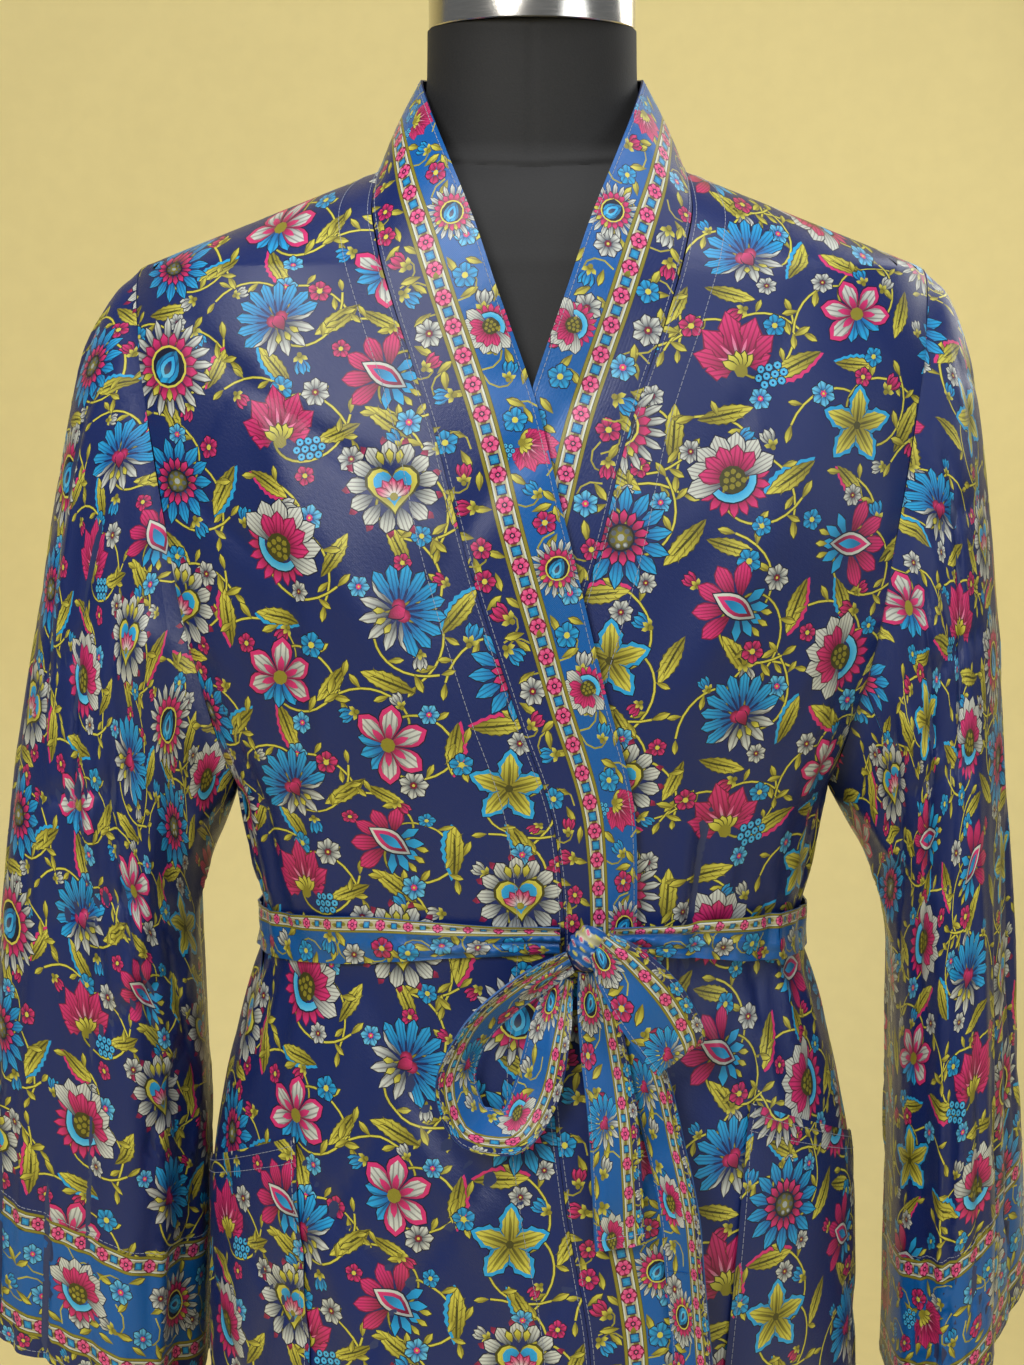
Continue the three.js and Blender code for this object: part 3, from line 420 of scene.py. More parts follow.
def panel_net(side: Side, columns: int, z: Array, first: Optional[Array] = None, more: float = 0.0) -> Array:
    """A front panel's net, from its band seam, or from another line, to its side.

    Args:
        side: The front's side.
        columns: How many columns it has.
        z: Heights of the net, one row each or one for each point.
        first: Where each row starts, as a distance from the centre.
        more: How far it stands off the panel.

    Returns:
        Points in millimetres, rows by columns.
    """
    rows = z[:, None] if z.ndim == 1 else z
    half, _, last = ROBE.section(rows, False)
    start = BAND.read("x", rows) + SEAM_GAP / 2 if first is None else first
    turn = mix(ROBE.turn_at(start, rows), last - SEAM_GAP / 2 / half, np.linspace(0, 1, columns)[None])
    x = half * bulge(turn)
    return ROBE.front(side.value * x, rows + 0 * x, -side.value, more)


# ---------------------------------------------------------------- flat cut and net
@dataclass
class Chart:
    """A sheet of cloth: its places in space on an even net, and where each lies on the flat cut.

    Attributes:
        net: Points in millimetres, rows by columns.
        across: Each point's place across the flat cut, in millimetres.
        along: Each point's place along it.
        hollow: A point inside the piece, or None for a piece that faces the front.
    """

    net: Array
    across: Array
    along: Array
    hollow: Optional[Array] = None
    normals: Array = field(init=False)
    width: float = field(init=False)
    length: float = field(init=False)
    mirrored: bool = field(init=False)

    def __post_init__(self) -> None:
        """Works out the normals and the mean size."""
        step_p = np.gradient(self.net, axis=1)
        step_q = np.gradient(self.net, axis=0)
        normal = unit(np.cross(step_p, step_q))
        outward = self.net - self.hollow if self.hollow is not None else np.array([0.0, -1.0, 0.0])
        self.mirrored = bool(np.sum(normal * outward) < 0)
        self.normals = -normal if self.mirrored else normal
        self.width = float(np.mean(np.ptp(self.across, axis=1)))
        self.length = float(np.mean(np.ptp(self.along, axis=0)))

    def sample(self, values: Array, p: Array, q: Array) -> Array:
        """Reads a field of the net between its points, and straight on past its border."""
        rows, columns = values.shape[:2]
        x, y = p * (columns - 1), q * (rows - 1)
        j = np.clip(np.floor(x).astype(int), 0, columns - 2)
        i = np.clip(np.floor(y).astype(int), 0, rows - 2)
        s, t = x - j, y - i
        if values.ndim == 3:
            s, t = s[:, None], t[:, None]
        low = values[i, j] * (1 - s) + values[i, j + 1] * s
        high = values[i + 1, j] * (1 - s) + values[i + 1, j + 1] * s
        return low * (1 - t) + high * t

    def nearest(self, flat: Array) -> tuple[Array, Array, Array]:
        """The net's own point nearest to each place on the flat cut, and how far off it is."""
        rows, columns = self.across.shape
        pick_i = np.unique(np.linspace(0, rows - 1, min(rows, 90)).astype(int))
        pick_j = np.unique(np.linspace(0, columns - 1, min(columns, 40)).astype(int))
        tree = KDTree(len(pick_i) * len(pick_j))
        keys = [(i, j) for i in pick_i for j in pick_j]
        for k, (i, j) in enumerate(keys):
            tree.insert((self.across[i, j], self.along[i, j], 0), k)
        tree.balance()
        found = [tree.find((x, y, 0)) for x, y in flat]
        at = np.array([keys[hit[1]] for hit in found], float).reshape(-1, 2)
        return at[:, 1] / (columns - 1), at[:, 0] / (rows - 1), np.array([hit[2] for hit in found])

    def locate(self, flat: Array, rounds: int = 6) -> tuple[Array, Array]:
        """Finds where places on the flat cut lie in the sheet's own square.

        Args:
            flat: Places on the flat cut, in millimetres.
            rounds: How often the answer is improved.

        Returns:
            Their places across and along the square, which may lie outside 0 to 1.
        """
        p, q, _ = self.nearest(flat)
        step = 0.004
        for turn in range(rounds):
            pace = 1.0 if turn < 5 else 0.6
            error_x = flat[:, 0] - self.sample(self.across, p, q)
            error_y = flat[:, 1] - self.sample(self.along, p, q)
            xp = (self.sample(self.across, p + step, q) - self.sample(self.across, p - step, q)) / (2 * step)
            xq = (self.sample(self.across, p, q + step) - self.sample(self.across, p, q - step)) / (2 * step)
            yp = (self.sample(self.along, p + step, q) - self.sample(self.along, p - step, q)) / (2 * step)
            yq = (self.sample(self.along, p, q + step) - self.sample(self.along, p, q - step)) / (2 * step)
            det = xp * yq - xq * yp
            det = np.where(np.abs(det) < 1e-3, 1e-3, det)
            p = p + pace * np.clip((error_x * yq - error_y * xq) / det, -0.12, 0.12)
            q = q + pace * np.clip((error_y * xp - error_x * yp) / det, -0.12, 0.12)
        return p, q

    def locate_all(self, flat: Array) -> tuple[Array, Array, Array]:
        """Finds places as locate does, and how far off each answer is, in millimetres."""
        p, q = self.locate(flat, 9)
        off = np.hypot(flat[:, 0] - self.sample(self.across, p, q), flat[:, 1] - self.sample(self.along, p, q))
        return p, q, off

    def place(self, p: Array, q: Array, off: float) -> Array:
        """Points in space off the middle of the sheet, in millimetres."""
        return self.sample(self.net, p, q) + unit(self.sample(self.normals, p, q)) * off


def sides(tris: Array) -> Array:
    """The three sides of each triangle."""
    return np.concatenate([tris[:, [0, 1]], tris[:, [1, 2]], tris[:, [2, 0]]])


def welded(places: Array) -> tuple[Array, Array, Array]:
    """Joins places on a plane that fall on one point of a fine grid.

    Returns:
        The grid's points, the first place on each, and each place's point.
    """
    keys = np.round(places / WELD).astype(np.int64)
    _, first, again = np.unique(keys[:, 0] * 100_000_000 + keys[:, 1], return_index=True, return_inverse=True)
    return keys[first], first, again.reshape(-1)


def arc(net: Array, axis: int) -> Array:
    """Distances along a net's rows or columns from their first point."""
    steps = np.linalg.norm(np.diff(net, axis=axis), axis=-1)
    return np.concatenate([np.zeros_like(steps.take([0], axis)), np.cumsum(steps, axis)], axis)


def evened(net: Array) -> Array:
    """The net with its rows set again at even distances."""
    place = np.concatenate([[0], np.cumsum(np.linalg.norm(np.diff(net, axis=0), axis=-1).mean(axis=1))])
    at = np.interp(np.linspace(0, place[-1], len(net)), place, np.arange(len(net)))
    low = np.clip(np.floor(at).astype(int), 0, len(net) - 2)
    return mix(net[low], net[low + 1], (at - low)[:, None, None])


# ---------------------------------------------------------------- inks and motifs
def ink(red: int, green: int, blue: int) -> tuple[float, float, float]:
    """A printer's colour as linear light."""
    return tuple(((c / 255 + 0.055) / 1.055) ** 2.4 if c > 10 else c / 255 / 12.92 for c in (red, green, blue))


class Ink(Enum):
    """The print's colours."""

    NAVY = ink(15, 35, 94)
    NIGHT = ink(10, 14, 42)
    BLUE = ink(2, 88, 160)
    DEEP_BLUE = ink(8, 58, 122)
    TEAL = ink(14, 112, 160)
    CYAN = ink(34, 158, 214)
    ICE = ink(96, 190, 226)
    PINK = ink(208, 46, 112)
    ROSE = ink(226, 96, 146)
    WINE = ink(112, 14, 52)
    SILVER = ink(156, 164, 164)
    GREY = ink(82, 90, 100)
    WHITE = ink(202, 206, 196)
    GOLD = ink(204, 196, 74)
    OLIVE = ink(132, 124, 34)
    MOSS = ink(62, 60, 18)
    CREAM = ink(172, 166, 128)


@dataclass(frozen=True)
class Shape:
    """One flat patch of ink.

    Attributes:
        outline: Its corners, in millimetres.
        inner: The colour at its origin.
        outer: The colour at its far side.
        origin: Where the colour starts from.
        near: The distance from the origin where the inner colour ends.
        far: The distance where the outer colour is whole.
        veins: A vector across its fine lines, in lines per millimetre.
    """

    outline: Array
    inner: Ink
    outer: Ink
    origin: Point = (0.0, 0.0)
    near: float = 0.0
    far: float = 1.0
    veins: Point = (0.0, 0.0)


def turned(points: Array, degrees: float) -> Array:
    """Points turned about the origin."""
    c, s = math.cos(math.radians(degrees)), math.sin(math.radians(degrees))
    return np.asarray(points, float) @ np.array([[c, s], [-s, c]])


def divided(outline: Array, limit: float) -> Array:
    """A closed outline with points added so that no side is longer than a limit, for cloth that bends."""
    after = np.roll(outline, -1, axis=0)
    counts = np.maximum(1, np.ceil(np.linalg.norm(after - outline, axis=1) / limit).astype(int))
    if counts.max() == 1:
        return outline
    return np.concatenate([mix(a, b, (np.arange(n) / n)[:, None]) for a, b, n in zip(outline, after, counts)])


class Stencil:
    """A motif being drawn about its own middle, lowest patch first."""

    def __init__(self) -> None:
        self.shapes: list[Shape] = []

    def patch(self, outline: Array, inner: Ink, outer: Optional[Ink] = None, **more: object) -> None:
        """Adds a patch of any outline."""
        self.shapes.append(Shape(np.asarray(outline, float), inner, outer or inner, **more))

    def disc(self, x: float, y: float, radius: float, inner: Ink, outer: Optional[Ink] = None, sides: int = 7) -> None:
        """Adds a round spot."""
        turn = np.linspace(0, 2 * math.pi, sides, endpoint=False) + 0.3
        outline = np.stack([x + radius * np.cos(turn), y + radius * np.sin(turn)], -1)
        self.patch(outline, inner, outer, origin=(x, y), near=radius * 0.2, far=radius)

    def blade(
        self, base: Point, angle: float, length: float, width: float, inner: Ink, outer: Optional[Ink] = None,
        belly: float = 0.58, blunt: float = 0.8, steps: int = 4, veins: int = 0, jag: float = 0.0, curl: float = 0.0,
        rim: Optional[Ink] = None,
    ) -> None:
        """Adds a petal or leaf.

        Args:
            base: Where it starts.
            angle: Where it points, in degrees.
            length: Its length.
            width: Its greatest width.
            inner: The colour at its base.
            outer: The colour at its tip.
            belly: Where it is widest, as a share of its length.
            blunt: How round its ends are; above 1 they are drawn out to points.
            steps: How many stretches its sides have.
            veins: How many fine lines run along it.
            jag: How deep its edge is notched, as a share of its width.
            curl: How far its tip bends aside.
            rim: The ink of a dark edge about it, if it has one.
        """
        if rim:
            self.blade(base, angle, length + 0.7, width + 1.3, rim, belly=belly, blunt=blunt, steps=steps, jag=jag,
                       curl=curl)
        t = np.linspace(0, 1, steps + 1)
        power = math.log(0.5) / math.log(belly)
        half = width / 2 * np.sin(math.pi * t**power).clip(0) ** blunt
        if jag:
            half = half * (1 + jag * np.where(np.arange(steps + 1) % 2 == 0, -1, 1))
        bend = curl * t * t
        top = np.stack([t * length, half + bend], -1)
        low = np.stack([t * length, bend - half], -1)[1:-1][::-1]
        outline = turned(np.concatenate([top, low]), angle) + np.array(base)
        line = turned(np.array([[0.0, veins / max(width, 0.1)]]), angle)[0] if veins else (0.0, 0.0)
        self.patch(outline, inner, outer, origin=base, near=length * 0.1, far=length * 0.9, veins=tuple(line))

    def ring(
        self, count: int, start: float, length: float, width: float, inner: Ink, outer: Optional[Ink] = None,
        first: float = 90.0, spread: float = 360.0, middle: Point = (0.0, 0.0), **more: object,
    ) -> None:
        """Adds a ring or fan of petals about a middle."""
        step = spread / count if spread >= 360 else spread / max(count - 1, 1)
        for k in range(count):
            angle = first + step * k
            base = (
                middle[0] + start * math.cos(math.radians(angle)),
                middle[1] + start * math.sin(math.radians(angle)),
            )
            self.blade(base, angle, length, width, inner, outer, **more)

    def stroke(self, points: Sequence[Point], width: float, inner: Ink, outer: Optional[Ink] = None) -> None:
        """Adds a thin stem through points."""
        path = np.array(points, float)
        along = unit(np.gradient(path, axis=0))
        side = np.stack([-along[:, 1], along[:, 0]], -1) * width / 2
        self.patch(np.concatenate([path + side, (path - side)[::-1]]), inner, outer, origin=tuple(path[0]), far=30.0)


def aster(s: Stencil) -> None:
    """A blue aster with a rosy ring and a beaded heart."""
    s.ring(14, 8, 19, 6.8, Ink.BLUE, Ink.CYAN, belly=0.62, blunt=0.8, steps=5, veins=3, jag=0.1, rim=Ink.NIGHT)
    s.ring(15, 6.4, 8.4, 4.0, Ink.WINE, Ink.PINK, blunt=0.6, steps=3, rim=Ink.NIGHT)
    s.disc(0, 0, 7.6, Ink.NIGHT, sides=12)
    s.disc(0, 0, 6.6, Ink.OLIVE, Ink.MOSS, sides=12)
    s.disc(0, 0, 1.9, Ink.SILVER)
    for k in range(7):
        s.disc(4.5 * math.cos(k * 0.8976), 4.5 * math.sin(k * 0.8976), 1.5, Ink.WHITE, Ink.GREY, sides=6)


def sunburst(s: Stencil) -> None:
    """An oval burst of pale spikes about a blue drop."""
    s.ring(20, 12, 16.5, 5.2, Ink.GREY, Ink.WHITE, blunt=0.95, belly=0.5, steps=4, veins=2, jag=0.12, rim=Ink.NIGHT)
    s.ring(16, 9.5, 9.6, 5.0, Ink.WINE, Ink.PINK, blunt=0.7, steps=3, rim=Ink.WINE)
    s.disc(0, 0, 12.2, Ink.GOLD, sides=14)
    s.disc(0, 0, 10.9, Ink.NIGHT, sides=14)
    s.blade((0, -10.5), 90, 21, 15.5, Ink.CYAN, Ink.TEAL, belly=0.4, blunt=0.75, steps=7, veins=3)
    s.blade((0, -7.5), 90, 14.5, 9.4, Ink.ICE, Ink.CYAN, belly=0.4, blunt=0.75, steps=6, rim=Ink.DEEP_BLUE)
    s.blade((0, -5.4), 90, 9.4, 4.6, Ink.GREY, Ink.NAVY, belly=0.4, blunt=0.75, steps=5)
    s.ring(3, 12, 7.5, 3.8, Ink.OLIVE, Ink.GOLD, first=235, spread=70, steps=3, rim=Ink.MOSS)


def heart_lotus(s: Stencil) -> None:
    """A pale round lotus with rosy tips and a golden heart."""
    s.ring(13, 21, 7.4, 4.2, Ink.PINK, Ink.WINE, blunt=0.8, steps=3, first=96)
    s.ring(13, 11.5, 14, 8.6, Ink.GREY, Ink.WHITE, blunt=0.6, belly=0.62, steps=5, veins=4, rim=Ink.NIGHT)
    t = np.linspace(0, 2 * math.pi, 22, endpoint=False)
    heart = np.stack([16 * np.sin(t) ** 3, 13 * np.cos(t) - 5 * np.cos(2 * t) - 2 * np.cos(3 * t) - np.cos(4 * t)], -1)
    s.patch(heart * 0.98, Ink.MOSS)
    s.patch(heart * 0.88, Ink.OLIVE, Ink.GOLD, near=6, far=14)
    s.patch(heart * 0.68 + (0, 0.6), Ink.TEAL, Ink.CYAN, near=2, far=11)
    s.ring(5, 0.5, 10.5, 4.2, Ink.WHITE, Ink.PINK, first=30, spread=120, middle=(0, -6), steps=4, veins=2, rim=Ink.WINE)
    s.disc(0, -5.5, 2.4, Ink.GOLD, Ink.OLIVE)
    s.ring(3, 13, 8, 4, Ink.OLIVE, Ink.GOLD, first=72, spread=36, steps=3, rim=Ink.MOSS)


def maple(s: Stencil) -> None:
    """A rosy maple-like fan with a green cup and blue berries."""
    for angle, long in ((4, 18), (176, 18), (28, 25), (152, 25), (58, 28), (122, 28), (90, 31)):
        s.blade((0, -5), angle, long, 10.5, Ink.WINE, Ink.PINK, belly=0.62, blunt=0.85, steps=7, jag=0.2, veins=4,
                rim=Ink.WINE)
    for angle, long in ((90, 17), (58, 15), (122, 15), (28, 12), (152, 12)):
        s.blade((0, -4), angle, long, 1.8, Ink.SILVER, Ink.ROSE, steps=3)
    s.ring(5, 0, 11, 4.4, Ink.OLIVE, Ink.GOLD, first=40, spread=100, middle=(0, -8), steps=4, rim=Ink.MOSS)
    s.disc(0, -8, 3.8, Ink.GOLD, Ink.OLIVE)
    for row, count in enumerate((3, 4, 3)):
        for k in range(count):
            x, y = 16 + 4.8 * (k - count / 2) + 2.4, -10 - 4.3 * row
            s.disc(x, y, 2.7, Ink.NIGHT, sides=8)
            s.disc(x, y, 2.2, Ink.ICE, Ink.CYAN, sides=7)
            s.disc(x, y, 0.8, Ink.NAVY, sides=5)


def lozenge(s: Stencil) -> None:
    """A rosy double fan about a blue lozenge with a silver rim."""
    s.ring(5, 5, 15, 5.4, Ink.TEAL, Ink.CYAN, first=118, spread=124, steps=5, jag=0.12, rim=Ink.NIGHT)
    s.ring(5, 4, 23, 9.4, Ink.WINE, Ink.PINK, first=-68, spread=136, blunt=0.75, belly=0.66, steps=6, veins=5,
           rim=Ink.WINE)
    s.ring(3, 15, 8, 3.4, Ink.OLIVE, Ink.GOLD, first=160, spread=40, steps=3, rim=Ink.MOSS)
    for start, long, wide, tones in ((-14, 32, 15.5, (Ink.NIGHT, Ink.NIGHT)), (-13, 30, 13.6, (Ink.SILVER, Ink.WHITE)),
                                     (-10.6, 25, 10.4, (Ink.WINE, Ink.PINK)), (-7, 17, 6.0, (Ink.CYAN, Ink.TEAL))):
        s.blade((start, 0), 0, long, wide, *tones, belly=0.5, blunt=1.0, steps=7)


def plume(s: Stencil) -> None:
    """A blue plume over a pale fan, with a rosy heart."""
    s.ring(6, 5, 19, 6.6, Ink.GREY, Ink.WHITE, first=195, spread=150, blunt=0.85, steps=4, veins=2, rim=Ink.NIGHT)
    s.ring(10, 5, 23, 7.0, Ink.BLUE, Ink.CYAN, first=-6, spread=192, blunt=0.7, belly=0.68, steps=6, jag=0.14, veins=3,
           rim=Ink.NIGHT)
    s.disc(-3.4, 1.6, 4.2, Ink.PINK, Ink.WINE, sides=8)
    s.disc(3.4, 1.6, 4.2, Ink.PINK, Ink.WINE, sides=8)
    s.blade((0, 4), -90, 11, 8, Ink.PINK, Ink.WINE, belly=0.35, steps=5, rim=Ink.NIGHT)
    s.ring(3, 8, 7, 3.6, Ink.OLIVE, Ink.GOLD, first=240, spread=60, steps=3, rim=Ink.MOSS)


def lotus(s: Stencil) -> None:
    """A lotus seen from the side, pale without and rosy within, over beads and a blue crescent."""
    s.ring(9, 9, 13, 4.8, Ink.WINE, Ink.PINK, first=190, spread=160, steps=4, rim=Ink.WINE)
    s.ring(7, 3, 25, 11.5, Ink.GREY, Ink.WHITE, first=8, spread=164, blunt=0.65, belly=0.68, steps=6, veins=5,
           rim=Ink.NIGHT)
    s.ring(5, 2, 18.5, 8.6, Ink.WINE, Ink.PINK, first=30, spread=120, blunt=0.7, belly=0.64, steps=5, veins=3,
           rim=Ink.WINE)
    turn = np.radians(np.linspace(192, 348, 9))
    for out, deep, tones in ((15.2, 7.4, (Ink.NIGHT, Ink.NIGHT)), (14.3, 8.4, (Ink.CYAN, Ink.ICE))):
        outer = np.stack([out * np.cos(turn), (out - 1) * np.sin(turn)], -1)
        inner = np.stack([(out - 4) * np.cos(turn), deep * np.sin(turn)], -1)
        s.patch(np.concatenate([outer, inner[::-1]]), *tones, near=8, far=14)
    s.disc(0, 0, 8.4, Ink.MOSS, sides=11)
    for x, y in ((0, 0), (4, 1), (-4, 1), (2, 4.4), (-2, 4.4), (2, -3.6), (-2, -3.6), (6, -2.6), (-6, -2.6)):
        s.disc(x, y, 1.8, Ink.GOLD, Ink.OLIVE, sides=6)


def columbine(s: Stencil) -> None:
    """A columbine: white petals with rosy rims, and two blue ones."""
    s.ring(3, 3, 17, 7.6, Ink.BLUE, Ink.CYAN, first=240, spread=62, blunt=0.7, steps=5, veins=2, rim=Ink.NIGHT)
    for angle in (-22, 202, 30, 150, 90):
        s.blade((0, -2), angle, 24, 13, Ink.WINE, Ink.PINK, blunt=0.7, belly=0.64, steps=6, rim=Ink.NIGHT)
        s.blade((0, -2), angle, 21, 9.2, Ink.GREY, Ink.WHITE, blunt=0.7, belly=0.66, steps=5, veins=3)
        s.blade((0, -2), angle, 13, 4.2, Ink.WINE, Ink.PINK, steps=4)
    s.disc(0, -2, 4.4, Ink.GOLD, Ink.OLIVE, sides=8)


def starleaf(s: Stencil) -> None:
    """A five-pointed leaf with a blue fringe."""
    s.ring(5, 0, 23, 13, Ink.TEAL, Ink.CYAN, blunt=0.85, belly=0.5, steps=8, jag=0.12, rim=Ink.NIGHT)
    s.ring(5, 0, 20.5, 9.6, Ink.OLIVE, Ink.GOLD, blunt=0.9, belly=0.48, steps=8, jag=0.08, veins=4)
    s.ring(5, 0, 16, 1.7, Ink.MOSS, Ink.OLIVE, steps=3)
    s.disc(0, 0, 2.4, Ink.OLIVE, Ink.MOSS)


def leaf(s: Stencil, fringe: Optional[Ink] = None) -> None:
    """A long notched leaf about its middle, with a fringe of another colour if one is named."""
    if fringe:
        s.blade((-1.8, -23.5), 90, 46, 16.5, fringe, fringe, belly=0.55, blunt=0.8, steps=14, jag=0.1, curl=3)
    s.blade((0, -22), 90, 43, 13.0, Ink.OLIVE, Ink.GOLD, belly=0.52, blunt=0.85, steps=14, jag=0.09, veins=4, curl=3,
            rim=Ink.MOSS)
    s.blade((0, -24), 90, 38, 1.9, Ink.MOSS, Ink.MOSS, steps=4, curl=2.4)
    for k in (-9, -2, 5, 12):
        s.blade((0.2, k - 3), 48, 6.4, 0.9, Ink.MOSS, Ink.OLIVE, steps=2)
        s.blade((0.2, k - 3), 132, 6.4, 0.9, Ink.MOSS, Ink.OLIVE, steps=2)


def floret(s: Stencil, inner: Ink, outer: Ink, heart: Ink, petals: int = 6, size: float = 7.6) -> None:
    """A little open flower."""
    s.ring(petals, 1.2, size, size * 4.9 / petals, inner, outer, blunt=0.7, belly=0.62, steps=4, veins=2, rim=Ink.NIGHT)
    s.disc(0, 0, size * 0.3, heart, sides=7)
    s.disc(0, 0, size * 0.13, Ink.GOLD, sides=5)


def bud(s: Stencil, inner: Ink, outer: Ink) -> None:
    """A bud on its cup."""
    for angle in (68, 112, 90):
        s.blade((0, -3), angle, 12, 5.6, inner, outer, steps=4, veins=2, rim=Ink.NIGHT)
    s.ring(3, 0, 6.6, 3.4, Ink.MOSS, Ink.GOLD, first=38, spread=104, middle=(0, -5), steps=3)
    s.disc(0, -5.4, 1.9, Ink.OLIVE)


class Motif(Enum):
    """The big flowers of the print."""

    ASTER = "a"
    SUNBURST = "s"
    HEART = "h"
    MAPLE = "m"
    LOZENGE = "d"
    PLUME = "p"
    LOTUS = "l"
    COLUMBINE = "c"
    STAR = "t"

    def draw(self) -> list[Shape]:
        """The motif's patches about its own middle."""
        drawers: dict[str, Callable[[Stencil], None]] = {
            "a": aster, "s": sunburst, "h": heart_lotus, "m": maple, "d": lozenge,
            "p": plume, "l": lotus, "c": columbine, "t": starleaf,
        }
        stencil = Stencil()
        drawers[self.value](stencil)
        return stencil.shapes


def drawn(draw: Callable[..., None], *args: object, **more: object) -> list[Shape]:
    """The patches that a small motif's function draws."""
    stencil = Stencil()
    draw(stencil, *args, **more)
    return stencil.shapes


def leaflet(s: Stencil) -> None:
    """A small plain leaf."""
    s.blade((0, -7), 90, 14, 5, Ink.OLIVE, Ink.GOLD, steps=4, veins=1, rim=Ink.MOSS)


BIG = {motif: motif.draw() for motif in Motif}
LEAFLET = drawn(leaflet)
LEAVES = [drawn(leaf), drawn(leaf, Ink.CYAN), drawn(leaf), drawn(leaf, Ink.PINK)]
SMALL = [
    drawn(floret, Ink.BLUE, Ink.ICE, Ink.PINK), drawn(bud, Ink.WINE, Ink.PINK),
    drawn(floret, Ink.GREY, Ink.WHITE, Ink.WINE, 7, 8.4), drawn(bud, Ink.GREY, Ink.WHITE),
    drawn(floret, Ink.WINE, Ink.PINK, Ink.GOLD, 5, 6.6), drawn(floret, Ink.TEAL, Ink.CYAN, Ink.GOLD, 5, 7.0),
    drawn(bud, Ink.BLUE, Ink.CYAN),
]


# ---------------------------------------------------------------- laying the print out
@dataclass(frozen=True)
class Inks:
    """Patches of ink laid on a flat cut, lowest first."""

    shapes: list[Shape] = field(default_factory=list)

    def stamp(self, drawn_shapes: Sequence[Shape], x: float, y: float, angle: float, size: float, flip: bool) -> None:
        """Lays a motif down.

        Args:
            drawn_shapes: The motif's patches.
            x: Its middle across the cut, in millimetres.
            y: Its middle along the cut.
            angle: Its turn in degrees.
            size: Its scale.
            flip: Whether it is turned over.
        """
        mirror = np.array([-1.0 if flip else 1.0, 1.0])
        for shape in drawn_shapes:
            outline = turned(shape.outline * mirror * size, angle) + (x, y)
            origin = turned(np.array([shape.origin]) * mirror * size, angle)[0] + (x, y)
            veins = turned(np.array([shape.veins]) * mirror / size, angle)[0]
            self.shapes.append(Shape(outline, shape.inner, shape.outer, tuple(origin), shape.near * size,
                                     shape.far * size, tuple(veins)))

    def strip(self, x0: float, x1: float, y0: float, y1: float, tone: Ink) -> None:
        """Lays a plain strip down."""
        self.shapes.append(Shape(np.array([(x0, y0), (x1, y0), (x1, y1), (x0, y1)], float), tone, tone))

    def take(self, other: "Inks", period_x: float = 0.0, period_y: float = 0.0) -> None:
        """Lays another lot on top, repeated to both sides by its periods, where they aren't 0."""
        shifts = [(x, y) for x in sorted({-period_x, 0.0, period_x}) for y in sorted({-period_y, 0.0, period_y})]
        for shape in other.shapes:
            for shift in shifts:
                origin = (shape.origin[0] + shift[0], shape.origin[1] + shift[1])
                self.shapes.append(replace(shape, outline=shape.outline + shift, origin=origin))


@dataclass
class Floral:
    """The robe's repeat: big flowers on a half-dropped lattice, with leaves, buds and stems between them."""

    pitch_x: float = 68.0
    pitch_y: float = 67.0
    repeat: tuple[str, ...] = ("aldhcp", "smtalh", "hpcsmd", "tdlapc")
    seed: int = 7

    @property
    def period_x(self) -> float:
        """The repeat's width."""
        return self.pitch_x * len(self.repeat[0])

    @property
    def period_y(self) -> float:
        """The repeat's height."""
        return self.pitch_y * len(self.repeat)

    def lay(self, inks: Inks, base: float) -> None:
        """Lays one repeat above a base line, with what comes in from its neighbours."""
        random = np.random.default_rng(self.seed)
        layers = tuple(Inks() for _ in range(4))
        for column in range(len(self.repeat[0])):
            for row in range(len(self.repeat)):
                self.cell(layers, column, row, base, random.uniform(-1, 1, 30))
        for layer in layers:
            inks.take(layer, self.period_x, self.period_y)

    def cell(self, layers: Sequence[Inks], column: int, row: int, base: float, shake: Array) -> None:
        """Lays one cell of the lattice: a big flower, two leaves, four small flowers and three curling stems."""
        stems, leaves, smalls, bigs = layers
        x = column * self.pitch_x + 5 * shake[0]
        y = base + (row + 0.5 * (column % 2)) * self.pitch_y + 5 * shake[1]
        motif = Motif(self.repeat[row][column])
        bigs.stamp(BIG[motif], x, y, 38 * shake[2] + (0 if shake[3] > -0.4 else 70 * shake[4]), 0.98 + 0.08 * shake[5],
                   shake[6] > 0)
        px, py = self.pitch_x, self.pitch_y
        for k, (dx, dy, lean) in enumerate(((0.5, -0.04, -35), (-0.03, 0.52, 62))):
            kind = (column + 2 * row + k) % len(LEAVES)
            leaves.stamp(LEAVES[kind], x + dx * px + 3 * shake[7 + k], y + dy * py + 3 * shake[10 + k],
                         lean + 40 * shake[13 + k] + (180 if shake[16 + k] > 0 else 0), 0.7 + 0.1 * shake[19 + k],
                         shake[16 + k] > 0.5)
        for k, (dx, dy) in enumerate(((0.31, 0.28), (0.05, 0.37), (-0.34, 0.24), (0.2, -0.38))):
            kind = (3 * column + row * 2 + k * 3) % len(SMALL)
            smalls.stamp(SMALL[kind], x + dx * px + 3 * shake[22 + k], y + dy * py + 3 * shake[(25 + k) % 30],
                         180 * shake[(k + 11) % 30], 0.78 + 0.14 * shake[(k + 3) % 30], False)
        curl = np.linspace(0, 1, 15)
        for side, turn in ((1, 0.0), (-1, 1.9), (1, 3.9)):
            angle = 1.2 * shake[27] + turn + 2.3 * side * curl
            reach = 4 + 37 * curl
            path = np.stack([x + reach * np.cos(angle), y + reach * np.sin(angle)], -1)
            stem = Stencil()
            stem.stroke(path, 1.9, Ink.MOSS)
            stem.stroke(path, 1.1, Ink.OLIVE, Ink.GOLD)
            stems.stamp(stem.shapes, 0, 0, 0, 1, False)
            for k, lean in ((9, 55), (12, -50), (14, 10)):
                along = math.degrees(math.atan2(*(path[k] - path[k - 1])[::-1])) - 90 + lean
                out = 5.0 * np.array([-math.sin(math.radians(along)), math.cos(math.radians(along))])
                leaves.stamp(LEAFLET, *(path[k] + out), along, 0.72 + 0.12 * shake[k], False)


